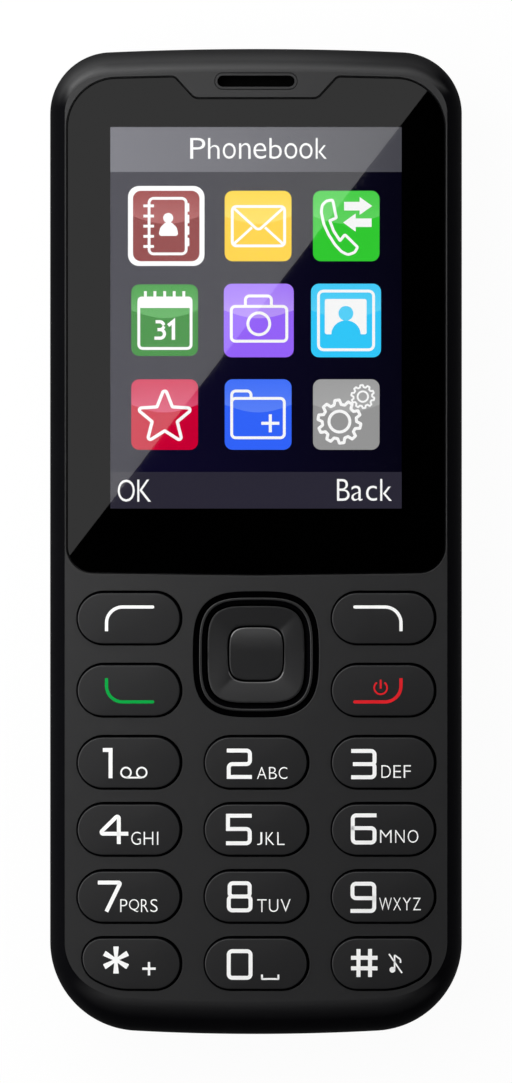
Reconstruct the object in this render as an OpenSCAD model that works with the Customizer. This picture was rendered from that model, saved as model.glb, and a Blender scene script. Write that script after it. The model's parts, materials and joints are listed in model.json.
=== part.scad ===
// Bar-shaped feature phone: a lens-covered display, a keypad and a slide-off back cover.
// It lies on its back: +X is right of the display, +Y points to the earpiece end and
// +Z points out of the display. The origin is on the back plane, under the middle.
// All lengths are in millimetres.

/* [Body] */
// Width across the two sides
body_w = 49.4; // [49:0.2:54]
// Length from the bottom end to the top end
body_l = 118.2; // [117:0.2:130]
// Thickness from the back to the front face
body_t = 13; // [12.8:0.1:15]
// Corner radius at the top end
top_corner_r = 7.4; // [7:0.1:10]
// Corner radius at the bottom end
bottom_corner_r = 10.7; // [10:0.1:13]
// Radius of the bowed top end
top_arc_r = 390; // [200:10:900]
// Radius of the bowed bottom end
bottom_arc_r = 265; // [150:5:900]

/* [Front edge] */
// Width of the steep bevel along the sides
edge_side_w = 1.9; // [1.6:0.05:2.1]
// Width of the rounding over the top end
edge_top_w = 2; // [1.6:0.1:2.6]
// Width of the rounding over the bottom end
edge_bottom_w = 4; // [3:0.1:4.4]
// Angle by which the side bevel breaks away from the front face
crease_angle = 40; // [20:1:60]

/* [Back edge] */
// Width of the rounding round the back
back_edge_w = 3.2; // [2.6:0.1:3.4]
// Height of that rounding
back_edge_h = 5.2; // [4.5:0.1:7]

/* [Walls] */
// Thickness of the front face
face_t = 1.5; // [1.4:0.05:1.7]
// Side wall of the front cover, beside its front face
front_wall = 1.5; // [1.2:0.05:1.6]
// Side wall of the rear housing, at the parting line
rear_wall = 2.4; // [2.2:0.1:2.8]
// Back wall of the rear housing, behind the back cover
back_wall = 1; // [0.8:0.1:1.2]
// Wall and floor of the battery tub
tub_wall = 0.9; // [0.7:0.1:1.1]
// Height of the locating lip at the parting line
lip_h = 0.7; // [0.4:0.1:0.9]
// Outer wall of the front cover beside that lip
lip_outer = 1.2; // [0.9:0.1:1.4]

/* [Lens] */
// Rim of the front face left beside the lens
lens_rim = 0.14; // [0.1:0.02:0.4]
// Thickness of the lens
lens_t = 0.8; // [0.6:0.05:0.9]
// Thickness of its adhesive tape
tape_t = 0.1; // [0.05:0.05:0.15]
// Distance of the lens from the top end
lens_from_top = 3.5; // [3:0.1:4]
// Fall of the lens edge from the notch to the corners
lens_fall = 0.3; // [0.1:0.05:0.6]
// Corner radius of the lens at the top
lens_top_r = 5.9; // [4.5:0.1:6.5]
// Corner radius of the lens at the bottom
lens_bottom_r = 3.1; // [2:0.1:4]
// Width of the earpiece notch at its floor
notch_w = 14.8; // [13:0.2:16]
// Depth of the earpiece notch
notch_d = 2.6; // [2:0.1:3]
// Sideways run of each sloping notch side
notch_run = 2.4; // [1.8:0.1:3]
// Distance from the lens to the middle of the soft keys
lens_to_keys = 5.3; // [5:0.1:6]

/* [Display] */
// Width of the picture
screen_w = 34.8; // [33:0.1:36]
// Height of the picture
screen_h = 45.6; // [43:0.1:46]
// Distance of the picture from the top end
screen_from_top = 9.5; // [9:0.1:10]
// Glass round the picture at the sides and the top
glass_margin = 0.9; // [0.7:0.1:1.1]
// Ledge of glass below the picture
glass_ledge = 3; // [2:0.1:3.4]
// Metal frame beyond the glass
frame_margin = 0.9; // [0.6:0.1:1.1]
// Thickness of the glass panel
glass_t = 0.8; // [0.6:0.1:1]
// Thickness of the light guide behind it
guide_t = 0.8; // [0.5:0.1:1]
// Thickness of the foam gasket in front of it
gasket_t = 0.3; // [0.2:0.05:0.4]

/* [Keys] */
// Length of a key
key_w = 12.46; // [12:0.02:12.8]
// Height of a key across its straight sides
key_h = 6.2; // [5.8:0.02:6.6]
// Gap round a key in the front face
key_gap = 0.2; // [0.15:0.05:0.3]
// Front face left between a key and the side bevel
key_margin = 1.35; // [1.2:0.05:1.6]
// Step between the rows of number keys
row_pitch = 8.03; // [7.9:0.01:8.4]
// Step between the soft keys, the call keys and the first number row
call_pitch = 8.64; // [8.4:0.02:9]
// Distance of the last row from the bottom end
row_from_end = 8.52; // [8.4:0.02:9.5]
// Height of a key above the front face
key_proud = 0.3; // [0.2:0.05:0.6]
// Rounding of a key's upper edge
key_edge_r = 0.35; // [0.2:0.05:0.5]
// Rise of the crown across a key
key_crown = 0.12; // [0.05:0.01:0.2]
// Flange that keeps a key behind the face
key_flange = 0.5; // [0.4:0.05:0.6]
// Thickness of that flange
flange_t = 0.6; // [0.4:0.05:0.7]
// Radius of the plunger under a key
plunger_r = 1.5; // [1:0.1:1.8]
// Travel of a key
key_travel = 0.35; // [0.25:0.05:0.4]
// Length cut from the outer end of the two outer bottom keys
corner_trim = 0.58; // [0.3:0.02:1]
// Radius of the upper outer corner of those keys
corner_nose_r = 2.4; // [1.8:0.05:2.45]
// Radius of their lower outer corner
corner_belly_r = 3; // [2.4:0.05:3.05]
// Slope of their lower side, which follows the body
corner_slope = 27; // [20:1:30]
// Length of that slope along the key
corner_run = 3.75; // [3:0.05:4]
// Radius at its start
corner_sweep_r = 8; // [5:0.5:9]

/* [Navigation key] */
// Width of the well in the front face
well_w = 15.1; // [14.8:0.1:15.3]
// Width of the tilting ring over its crest
ring_w = 13.6; // [13.4:0.1:13.8]
// Width of the crest itself
crest_w = 0.38; // [0.3:0.02:0.5]
// Width of the tilting plate inside the ring
plate_w = 11.6; // [11.2:0.1:11.8]
// Depth of the four-sided dish in the plate
dish_d = 0.4; // [0.2:0.05:0.6]
// Width of the select key
select_w = 6.4; // [6:0.1:6.8]
// Flange that keeps ring, plate and select key in place
nav_flange = 0.45; // [0.35:0.05:0.5]
// Free height for the tilt of the ring and the plate
tilt_gap = 0.45; // [0.42:0.01:0.5]
// Squareness of the well (2 is a circle)
well_power = 3.2; // [2.4:0.1:5]
// Squareness of the ring
ring_power = 3.5; // [2.4:0.1:5]
// Squareness of the plate and the select key
plate_power = 3.9; // [2.4:0.1:5]

/* [Circuit board] */
// Thickness of the board
board_t = 0.8; // [0.6:0.1:1]
// Space between the front face and the board
key_space = 2.5; // [2.5:0.05:2.8]
// Thickness of the film that holds the key domes
film_t = 0.1; // [0.05:0.05:0.15]
// Height of a key dome
dome_h = 0.25; // [0.15:0.05:0.3]
// Radius of a key dome
dome_r = 2; // [1.6:0.1:2.4]
// Thickness of the rubber keypad mat
mat_t = 0.5; // [0.4:0.05:0.6]

/* [Back cover and battery] */
// Thickness of the back cover
cover_t = 1.1; // [0.9:0.05:1.2]
// Width of the back cover
cover_w = 42; // [41:0.1:42.2]
// Way that the cover slides before it lifts off
cover_travel = 9; // [8.5:0.1:10]
// Length of each hook on the cover
hook_l = 7; // [5:0.1:8]
// Step between the hooks of one side
hook_pitch = 17; // [16.5:0.1:18]
// Width of the battery
battery_w = 34; // [32:0.1:34.6]
// Length of the battery
battery_l = 50; // [46:0.1:52]
// Thickness of the battery
battery_t = 4.8; // [4.2:0.1:5]
// Place of the battery's middle along the phone
battery_y = -5; // [-6:0.1:-4]

/* [Screws] */
// Radius of the screw shank
screw_r = 0.7; // [0.6:0.05:0.8]
// Radius of the screw head
screw_head_r = 1.25; // [1.1:0.05:1.35]
// Height of the screw head
screw_head_h = 0.7; // [0.5:0.05:0.8]
// Radius of the screw bosses
boss_r = 1.7; // [1.6:0.05:1.9]
// Distance of the top screws from the sides
screw_from_side = 7.1; // [6.6:0.1:7.6]
// Distance of the top screws from the top end
screw_from_top = 5.5; // [5.3:0.1:5.7]

/* [Sound] */
// Length of the earpiece slot
ear_w = 9.2; // [7:0.1:10]
// Height of the earpiece slot
ear_h = 1.3; // [0.9:0.05:1.5]
// Distance of the slot from the top end
ear_from_top = 3.8; // [3.6:0.1:4]
// Length of the earpiece receiver
receiver_w = 11; // [10.6:0.1:12]
// Height of the earpiece receiver
receiver_h = 4; // [3.4:0.1:4.2]
// Width of the loudspeaker
speaker_w = 15; // [13:0.1:16]
// Length of the loudspeaker
speaker_l = 11; // [9:0.1:12]
// Thickness of the loudspeaker
speaker_t = 3.2; // [2.5:0.1:3.6]
// Distance of the loudspeaker from the top end
speaker_from_top = 24.1; // [23:0.1:26]
// Number of sound slots in the back cover
sound_slots = 5; // [3:1:5]
// Radius of the microphone
mic_r = 2; // [1.5:0.1:2.2]
// Height of the microphone
mic_h = 1.6; // [1:0.1:2]
// Distance of the microphone from the side
mic_from_side = 12.7; // [12.3:0.1:13.7]
// Radius of its sound hole
mic_hole_r = 0.5; // [0.3:0.05:0.6]

/* [Camera] */
// Width of the square camera body
camera_w = 8.4; // [7.5:0.1:9]
// Radius of the camera barrel
barrel_r = 3; // [2.6:0.1:3.2]
// Radius of the camera window
window_r = 3.6; // [3.4:0.1:4]
// Thickness of the camera window
window_t = 0.6; // [0.5:0.05:0.7]
// Distance of the camera from the top end
camera_from_top = 11.1; // [10.5:0.1:12]

/* [Sockets] */
// Radius of the headphone bore
jack_r = 1.8; // [1.7:0.05:1.9]
// Length of the headphone bore
jack_l = 12.6; // [11:0.1:13]
// Width of the headphone socket
jack_w = 6; // [5.4:0.1:6.4]
// Height of the headphone socket
jack_h = 5.2; // [4.9:0.1:5.4]
// Place of the headphone socket across the phone
jack_place = 10.3; // [10:0.1:11.6]
// Width of the charging socket's mouth
usb_w = 7; // [6.8:0.1:7.4]
// Height of the charging socket's mouth
usb_h = 1.9; // [1.8:0.05:2]
// Depth of the charging socket
usb_l = 5.6; // [4.5:0.1:6]
// Sheet thickness of the charging socket
usb_wall = 0.3; // [0.25:0.05:0.4]

/* [Vibration motor] */
// Radius of the motor
motor_r = 2; // [1.7:0.1:2.1]
// Length of the motor
motor_l = 8; // [6:0.1:9]
// Radius of the eccentric weight
weight_r = 2.1; // [1.8:0.1:2.1]
// Length of the eccentric weight
weight_l = 3; // [2:0.1:3.4]
// Radius of the motor shaft
shaft_r = 0.4; // [0.3:0.05:0.5]
// Distance of its front end from the side
motor_from_side = 13.2; // [12.8:0.1:14]
// Distance of the motor from the bottom end
motor_from_end = 19.6; // [19:0.1:21]

/* [Cards] */
// Width of a SIM holder
sim_w = 15.4; // [14:0.1:16]
// Length of a SIM holder
sim_l = 14; // [12:0.1:15]
// Width and length of the memory card holder
memory_w = 13; // [11:0.1:14]

/* [Clearances] */
// Gap round the lens in its recess
lens_gap = 0.1; // [0.08:0.02:0.2]
// Gap between fixed pieces that drop into one another
fit_gap = 0.1; // [0.05:0.01:0.15]
// Gap between sliding pieces
slide_gap = 0.1; // [0.08:0.01:0.15]
// Gap round the battery
battery_gap = 0.2; // [0.1:0.05:0.3]
// Gap between the select key and the plate that tilts round it
select_gap = 0.22; // [0.2:0.01:0.3]
// Gap round the circuit board
board_gap = 0.3; // [0.2:0.05:0.5]
// Gap of the motor shaft in its bearing
shaft_gap = 0.05; // [0.03:0.01:0.08]

/* [Hidden] */
$fn = 48;
eps = 0.01;

// Steps of the lofted outline and of the small roundings
corner_steps = 9;
end_steps = 8;
edge_steps = 6;
fillet_steps = 6;

// The sizes above are drawn for this body and this length of keypad. Keys, navigation key,
// battery, card holders and back cover follow the body and the room below the display.
drawn_w = 49.4;
drawn_l = 118.2;
drawn_keypad = 54.58;
fit_w = body_w / drawn_w;
fit_l = (body_l - screen_from_top - screen_h - row_from_end) / drawn_keypad;
nav_fit = min(fit_w, fit_l);
cap_w = key_w * fit_w;
cap_h = key_h * fit_l;
row_step = row_pitch * fit_l;
call_step = call_pitch * fit_l;
well = well_w * nav_fit;
ring = ring_w * nav_fit;
plate = plate_w * nav_fit;
select = select_w * nav_fit;
cell_w = battery_w * fit_w;
cell_l = battery_l * body_l / drawn_l;
cell_y = battery_y * body_l / drawn_l;
card_w = sim_w * fit_w;
lid_w = cover_w * fit_w;
hook_step = hook_pitch * body_l / drawn_l;

// Levels from the front face down
face_in_z = body_t - face_t;
recess_z = body_t - lens_t - tape_t;
board_top = face_in_z - key_space;
board_bot = board_top - board_t;
part_lift = 0.4;
part_z = board_bot + part_lift;
edge_h = body_t - part_z;
film_top = board_top + film_t;
dome_top = film_top + dome_h;
flange_top = face_in_z - fit_gap / 2;
flange_z = flange_top - flange_t;
press_gap = 0.05;
plunger_z = dome_top + key_travel + press_gap;
mat_top = flange_z - key_travel - fit_gap;
mat_z = mat_top - mat_t;
glass_top = face_in_z - gasket_t;
glass_z = glass_top - glass_t;
guide_z = glass_z - guide_t;

// Levels from the back up
wall_z = cover_t + slide_gap;
pocket_z = wall_z + back_wall;
battery_z = cover_t + battery_gap;
tub_floor_z = battery_z + battery_t + fit_gap;
tub_top = tub_floor_z + tub_wall;
holder_h = board_bot - tub_top - fit_gap / 2;

// Places along the phone
top_y = body_l / 2;
end_y = -body_l / 2;
face_half = body_w / 2 - edge_side_w;
lens_half = face_half - lens_rim - lens_gap;
lens_top = top_y - lens_from_top;
screen_top = top_y - screen_from_top;
screen_y = screen_top - screen_h / 2;
ear_y = top_y - ear_from_top;
receiver_y = top_y - rear_wall - receiver_h / 2 - fit_gap - eps;
camera_y = top_y - camera_from_top;
speaker_y = top_y - speaker_from_top;
motor_y = end_y + motor_from_end;
col_pitch = face_half - key_margin - cap_w / 2;
last_row = 5;
function row_y(row) = end_y + row_from_end + min(last_row - row, 3) * row_step
    + max(2 - row, 0) * call_step;
nav_y = (row_y(0) + row_y(1)) / 2;
lens_bottom = row_y(0) + lens_to_keys * fit_l;
dome_pitch = (plate + select) / 4;

// Navigation key levels
ring_flange_top = face_in_z - tilt_gap;
ring_z = ring_flange_top - flange_t + fit_gap;
plate_flange_top = ring_z - tilt_gap + fit_gap / 2;
plate_flange_t = 0.4;
plate_z = plate_flange_top - plate_flange_t;
crest_z = body_t + 0.1;
plate_top = body_t + 0.05;
select_flange_z = plunger_z + flange_t;
select_flange_top = select_flange_z + 0.5;
plate_pocket_z = select_flange_top + tilt_gap - 0.1;
select_top = plate_top - 0.1;

// Back cover hooks and the rails that they run in
tub_half = cell_w / 2 + battery_gap + tub_wall;
hook_x = tub_half + 0.4;
hook_stem = 0.5;
hook_reach = 0.9;
hook_lip = 0.55;
hook_z = wall_z + hook_lip + slide_gap;
hook_t = 0.65;
rail_top = hook_z + hook_t + slide_gap + 0.7;
rail_half = hook_x + hook_stem + hook_reach + 1.2;

// Headphone and charging sockets, motor and its weight
jack_z = board_bot - jack_h / 2;
jack_face = top_y - rear_wall - board_gap;
jack_blind = 1.2;
usb_case_w = usb_w + 2 * usb_wall;
usb_case_h = usb_h + 2 * usb_wall;
usb_z = board_bot - usb_case_h / 2;
usb_face = end_y + 1;
motor_z = pocket_z + weight_r + 0.25;
motor_end = motor_from_side - body_w / 2;
jack_x = jack_place * fit_w;
mic_x = body_w / 2 - mic_from_side;
weight_x = motor_end + 0.4;
pad_r = 0.8;

// Name, column and row of every key of the keypad
KEYS = [
    ["softkey_left", -1, 0], ["softkey_right", 1, 0],
    ["call_key", -1, 1], ["end_key", 1, 1],
    ["key_1", -1, 2], ["key_2", 0, 2], ["key_3", 1, 2],
    ["key_4", -1, 3], ["key_5", 0, 3], ["key_6", 1, 3],
    ["key_7", -1, 4], ["key_8", 0, 4], ["key_9", 1, 4],
    ["key_star", -1, 5], ["key_0", 0, 5], ["key_hash", 1, 5]
];

function key_place(key) = [key[1] * col_pitch, row_y(key[2])];
function is_corner(key) = key[2] == last_row && key[1] != 0;

top_screws = [for (side = [-1, 1]) [side * (body_w / 2 - screw_from_side), top_y - screw_from_top]];
key_screws = [for (side = [-1, 1]) [side * col_pitch / 2, (row_y(4) + row_y(5)) / 2]];
screw_places = concat(top_screws, key_screws);
nav_domes = [for (turn = [0:90:270]) [dome_pitch * cos(turn), nav_y + dome_pitch * sin(turn)]];
dome_places = concat([for (key = KEYS) key_place(key)], nav_domes, [[0, nav_y]]);
sim_places = [for (side = [-1, 1]) [side * (card_w / 2 + 0.8), cell_y + 13]];
memory_place = [0, cell_y - 8];
hook_places = [for (step = [-1:1]) cell_y + 4 + step * hook_step];

// Outline of the body: straight sides, four corner arcs and two bowed ends, all tangent.
// Each entry is x, y and the direction of the outward normal in degrees.
top_cx = body_w / 2 - top_corner_r;
top_arc_y = top_y - top_arc_r;
top_cy = top_arc_y + sqrt(pow(top_arc_r - top_corner_r, 2) - pow(top_cx, 2));
top_turn = atan2(top_cy - top_arc_y, top_cx);
bottom_cx = body_w / 2 - bottom_corner_r;
bottom_arc_y = end_y + bottom_arc_r;
bottom_cy = bottom_arc_y - sqrt(pow(bottom_arc_r - bottom_corner_r, 2) - pow(bottom_cx, 2));
bottom_turn = atan2(bottom_arc_y - bottom_cy, bottom_cx);
function arc(x, y, r, from, to, steps, last) =
    [for (i = [0:last]) let (a = from + (to - from) * i / steps) [x + r * cos(a), y + r * sin(a), a]];
rim = concat(
    arc(bottom_cx, bottom_cy, bottom_corner_r, -bottom_turn, 0, corner_steps, corner_steps),
    arc(top_cx, top_cy, top_corner_r, 0, top_turn, corner_steps, corner_steps - 1),
    arc(0, top_arc_y, top_arc_r, top_turn, 180 - top_turn, end_steps, end_steps - 1),
    arc(-top_cx, top_cy, top_corner_r, 180 - top_turn, 180, corner_steps, corner_steps),
    arc(-bottom_cx, bottom_cy, bottom_corner_r, 180, 180 + bottom_turn, corner_steps, corner_steps - 1),
    arc(0, bottom_arc_y, bottom_arc_r, 180 + bottom_turn, 360 - bottom_turn, end_steps, end_steps - 1)
);

// A value that goes from the sides to the top or bottom end with the normal's direction
function around(a, side, top, bottom) =
    side + ((sin(a) > 0 ? top : bottom) - side) * pow(sin(a), 2);
function moved_in(p, d) = [p[0] - d * cos(p[2]), p[1] - d * sin(p[2])];
function outline_in(side, top, bottom) = [for (p = rim) moved_in(p, around(p[2], side, top, bottom))];
function plain_in(d) = outline_in(d, d, d);

// Front edge: an ellipse section that starts at the crease on the sides and smoothly at the ends
function crease(a) = crease_angle * max(0, 1 - abs(sin(a)) / (sin(a) > 0 ? 0.5 : 0.85));
function edge_width(a) = around(a, edge_side_w, edge_top_w, edge_bottom_w);
function edge_in(a, turn) = edge_width(a) * (1 - (sin(turn) - sin(crease(a))) / (1 - sin(crease(a))));
function edge_drop(a, turn) = edge_h * (cos(crease(a)) - cos(turn)) / cos(crease(a));
function edge_turn(a, drop) = acos(cos(crease(a)) * (1 - drop / edge_h));
function front_ring(u) = [for (p = rim)
    let (a = p[2], turn = crease(a) + u * (90 - crease(a)), q = moved_in(p, edge_in(a, turn)))
    [q[0], q[1], body_t - edge_drop(a, turn)]];
front_cavity = [for (p = rim) moved_in(p, edge_in(p[2], edge_turn(p[2], face_t)) + front_wall)];

// Back edge: a quarter ellipse all round
function back_ring(u) = [for (p = rim)
    let (q = moved_in(p, back_edge_w * (1 - sin(90 * u))))
    [q[0], q[1], back_edge_h * (1 - cos(90 * u))]];
function flat_ring(points, z) = [for (p = points) [p[0], p[1], z]];

// Rounded polygon: each corner is x, y and the radius of its fillet
function unit(v) = v / norm(v);
function turn_between(from, to) = (to - from + 540) % 360 - 180;
function fillet(before, corner, after) =
    let (
        point = [corner[0], corner[1]],
        u = unit([before[0], before[1]] - point),
        v = unit([after[0], after[1]] - point),
        half = acos(u * v) / 2,
        middle = point + unit(u + v) * corner[2] / sin(half),
        start = point + u * corner[2] / tan(half) - middle,
        stop = point + v * corner[2] / tan(half) - middle,
        from = atan2(start[1], start[0]),
        sweep = turn_between(from, atan2(stop[1], stop[0]))
    )
    [for (i = [0:fillet_steps]) let (a = from + sweep * i / fillet_steps)
        middle + corner[2] * [cos(a), sin(a)]];
function rounded(corners) = [for (i = [0:len(corners) - 1])
    each fillet(corners[(i + len(corners) - 1) % len(corners)], corners[i],
        corners[(i + 1) % len(corners)])];
function rounded_box(w, l, r) = rounded([for (c = [[1, 1], [-1, 1], [-1, -1], [1, -1]])
    [c[0] * w / 2, c[1] * l / 2, r]]);

// Square with bulging sides, between a circle and a square
squircle_steps = 48;
function squircle(w, power) = [for (i = [0:squircle_steps - 1])
    let (a = 360 * i / squircle_steps, c = cos(a), s = sin(a))
    [c, s] * w / 2 / pow(pow(abs(c), power) + pow(abs(s), power), 1 / power)];

// The same polygon, counterclockwise, with its sides and fillets moved outwards by a distance
function side_normal(from, to) = let (e = unit([to[0] - from[0], to[1] - from[1]])) [e[1], -e[0]];
function grown(corners, d) = [for (i = [0:len(corners) - 1])
    let (
        c = corners[i],
        n = side_normal(corners[(i + len(corners) - 1) % len(corners)], c),
        m = side_normal(c, corners[(i + 1) % len(corners)]),
        shift = (n + m) * d / (1 + n * m)
    )
    [c[0] + shift[0], c[1] + shift[1], c[2] + d]];

// Outline of an outer bottom key, side -1 on the left and 1 on the right, grown by a distance
corner_end = cap_w / 2 - corner_trim;
corner_rise = corner_run * tan(corner_slope);
corner_points = [
    [-cap_w / 2, -cap_h / 2, cap_h / 2 - eps],
    [corner_end - corner_run * fit_l, -cap_h / 2, corner_sweep_r * fit_l],
    [corner_end, corner_rise * fit_l - cap_h / 2, corner_belly_r * fit_l],
    [corner_end, cap_h / 2, corner_nose_r * fit_l],
    [-cap_w / 2, cap_h / 2, cap_h / 2 - eps]
];
function mirrored(points, side) = side > 0 ? points
    : [for (i = [len(points) - 1:-1:0]) [-points[i][0], points[i][1]]];
function corner_key(side, grow) = mirrored(rounded(grown(corner_points, grow)), side);

// Lens outline with the notch round the earpiece
lens_corners = concat(
    [[lens_half, lens_bottom + lens_fall, lens_bottom_r], [lens_half, lens_top - lens_fall, lens_top_r]],
    [[notch_w / 2 + notch_run, lens_top, 0.8], [notch_w / 2, lens_top - notch_d, 1.2]],
    [[-notch_w / 2, lens_top - notch_d, 1.2], [-notch_w / 2 - notch_run, lens_top, 0.8]],
    [[-lens_half, lens_top - lens_fall, lens_top_r], [-lens_half, lens_bottom + lens_fall, lens_bottom_r]],
    [[0, lens_bottom, 90]]
);

// Solid through a stack of rings that have the same number of points, lowest ring first
module loft(rings) {
    count = len(rings[0]);
    last = len(rings) - 1;
    sides = [for (k = [0:last - 1], i = [0:count - 1])
        let (j = (i + 1) % count, low = k * count, high = low + count)
        each [[low + i, high + i, high + j], [low + i, high + j, low + j]]];
    floor_face = [for (i = [0:count - 1]) i];
    roof_face = [for (i = [count - 1:-1:0]) last * count + i];
    polyhedron(points = [for (ring = rings) each ring], faces = concat([floor_face, roof_face], sides));
}

module slab(points, z, top) {
    translate([0, 0, z])
        linear_extrude(top - z)
            polygon(points);
}

module block(w, l, z, top, x = 0, y = 0) {
    translate([x - w / 2, y - l / 2, z])
        cube([w, l, top - z]);
}

module post(r, z, top, place = [0, 0]) {
    translate([place[0], place[1], z])
        cylinder(r = r, h = top - z);
}

module stadium(w, h) {
    square([w - h, h], center = true);
    for (side = [-1, 1])
        translate([side * (w - h) / 2, 0])
            circle(d = h);
}

module stadium_block(w, h, z, top, place = [0, 0]) {
    translate([place[0], place[1], z])
        linear_extrude(top - z)
            stadium(w, h);
}

// Pill with a rounded upper edge and a crowned top
module pill(w, h, z, top, edge_r, crown) {
    flat_r = h / 2 - edge_r;
    edge = [for (i = [0:4]) [flat_r + edge_r * cos(22.5 * i), top - edge_r + edge_r * sin(22.5 * i)]];
    crest = [for (i = [1:4]) [flat_r * (1 - i / 4), top + crown * (1 - pow(1 - i / 4, 2))]];
    half = concat([[0, z], [h / 2, z]], edge, crest);
    whole = concat(
        [for (i = [1:len(half) - 1]) half[i]],
        [for (i = [len(half) - 2:-1:1]) [-half[i][0], half[i][1]]]
    );
    rotate([90, 0, 90])
        linear_extrude(w - h, center = true)
            polygon(whole);
    for (side = [-1, 1])
        translate([side * (w - h) / 2, 0, 0])
            rotate([0, 0, -90 * side])
                rotate_extrude(angle = 180)
                    polygon(half);
}

module front_shell() {
    loft([for (i = [edge_steps:-1:0]) front_ring(i / edge_steps)]);
}

module rear_shell() {
    loft(concat([for (i = [0:edge_steps]) back_ring(i / edge_steps)], [flat_ring(rim, part_z)]));
}

module key_footprint(key, grow) {
    translate(key_place(key))
        if (is_corner(key))
            polygon(corner_key(key[1], grow));
        else
            stadium(cap_w + 2 * grow, cap_h + 2 * grow);
}

// Front cover: lofted shell with the lens recess, the key openings and four screw bosses
module front_cover() {
    color("#2d2d2f")
        difference() {
            union() {
                difference() {
                    front_shell();
                    slab(front_cavity, part_z - 1, face_in_z);
                    slab(plain_in(lip_outer), part_z - 1, part_z + lip_h + fit_gap);
                }
                for (place = screw_places)
                    post(boss_r - fit_gap, board_top, face_in_z + eps, place);
            }
            lens_recess();
            key_openings();
            stadium_block(ear_w, ear_h, face_in_z - 1, body_t + 1, [0, ear_y]);
            mesh_seat(fit_gap, face_in_z - 1, face_in_z + mesh_t + fit_gap / 2);
            for (place = screw_places)
                post(screw_r + fit_gap / 2, board_top - 1, face_in_z - 0.3, place);
        }
}

module lens_recess() {
    translate([0, 0, recess_z])
        linear_extrude(body_t)
            offset(r = lens_gap)
                polygon(rounded(lens_corners));
    translate([0, screen_y, 0])
        slab(rounded_box(screen_w + 1, screen_h + 1, 0.8), face_in_z - 1, body_t);
}

module key_openings() {
    translate([0, 0, face_in_z - 1])
        linear_extrude(face_t + 2)
            for (key = KEYS)
                key_footprint(key, key_gap);
    translate([0, nav_y, 0])
        slab(squircle(well, well_power), face_in_z - 1, body_t + 1);
}

// Display stack, from the lens down to the board
module display_lens() {
    color("#101216", 0.5)
        slab(rounded(lens_corners), recess_z + tape_t, body_t);
}

module lens_tape() {
    color("#0a0a0a")
        difference() {
            slab(rounded(lens_corners), recess_z, recess_z + tape_t);
            translate([0, screen_y, 0])
                slab(rounded_box(screen_w + 1, screen_h + 1, 0.8), recess_z - 1, body_t);
        }
}

glass_w = screen_w + 2 * glass_margin;
glass_l = screen_h + glass_margin + glass_ledge;
glass_y = screen_top + glass_margin - glass_l / 2;

module display_gasket() {
    color("#26262a")
        difference() {
            block(glass_w, glass_l, glass_top, face_in_z, 0, glass_y);
            block(screen_w + 0.6, screen_h + 0.6, glass_top - 1, face_in_z + 1, 0, screen_y);
        }
}

module display_panel() {
    color("#20222e")
        union() {
            block(glass_w, glass_l - glass_ledge, glass_z, glass_top, 0, glass_y + glass_ledge / 2);
            block(glass_w, glass_l, glass_z, glass_z + glass_t / 2, 0, glass_y);
        }
}

module light_guide() {
    color("#e8ecf0")
        block(glass_w, glass_l, guide_z, glass_z, 0, glass_y);
}

module display_frame() {
    color("#a7abb0")
        difference() {
            block(glass_w + 2 * frame_margin, glass_l + 2 * frame_margin,
                board_top, glass_top - fit_gap, 0, glass_y);
            block(glass_w + fit_gap, glass_l + fit_gap, guide_z, body_t, 0, glass_y);
        }
}

mat_in = rear_wall + board_gap + 0.4;
mat_leg = 1;
mat_end = nav_y + well / 2 + nav_flange + 0.9;
mat_room = 1.13;
flex_top = glass_y - glass_l / 2 - frame_margin;
flex_l = flex_top - mat_end - mat_room;
flex_w = 14;
flex_t = 0.2;
plug_h = 0.8;

module display_flex() {
    color("#b06a20")
        union() {
            block(flex_w, flex_l, board_top, board_top + flex_t, 0, flex_top - flex_l / 2);
            block(flex_w - 2, 0.4 * flex_l, board_top, board_top + plug_h, 0, flex_top - 0.75 * flex_l);
        }
}

// Earpiece
mesh_t = 0.4;

module mesh_seat(grow, z, top) {
    stadium_block(ear_w + 1 + 2 * grow, ear_h + 1 + 2 * grow, z, top, [0, ear_y]);
}

module earpiece_mesh() {
    color("#151515")
        mesh_seat(0, face_in_z, face_in_z + mesh_t);
}

module earpiece_receiver() {
    color("#8a8d92")
        union() {
            stadium_block(receiver_w, receiver_h, board_top, face_in_z - 0.4, [0, receiver_y]);
            stadium_block(receiver_w - 1, receiver_h - 1, board_top, face_in_z - fit_gap / 2,
                [0, receiver_y]);
        }
}

// Keys: a crowned cap in the front face, a flange behind it and a plunger over the dome
module keypad_key(key) {
    place = key_place(key);
    color("#333336")
        union() {
            translate([place[0], place[1], 0])
                if (is_corner(key))
                    corner_cap(key[1]);
                else
                    pill(cap_w, cap_h, flange_top, body_t + key_proud, key_edge_r, key_crown);
            translate([0, 0, flange_z])
                linear_extrude(flange_t)
                    key_footprint(key, key_flange);
            post(plunger_r, plunger_z, flange_z, place);
        }
}

// Cap of an outer bottom key: its outline lofted over the rounded edge and squeezed up to the crown
module corner_cap(side) {
    top = body_t + key_proud;
    squeeze = (cap_h - 2 * key_edge_r) / cap_w;
    edge = [for (turn = [0:30:90])
        flat_ring(corner_key(side, -key_edge_r * (1 - cos(turn))), top - key_edge_r * (1 - sin(turn)))];
    crest = [for (share = [0.25:0.25:0.75])
        [for (p = corner_key(side, -key_edge_r))
            [p[0] * (1 - share * squeeze), p[1] * (1 - share), top + key_crown * (1 - pow(1 - share, 2))]]];
    loft(concat([flat_ring(corner_key(side, 0), flange_top)], edge, crest));
}

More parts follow.
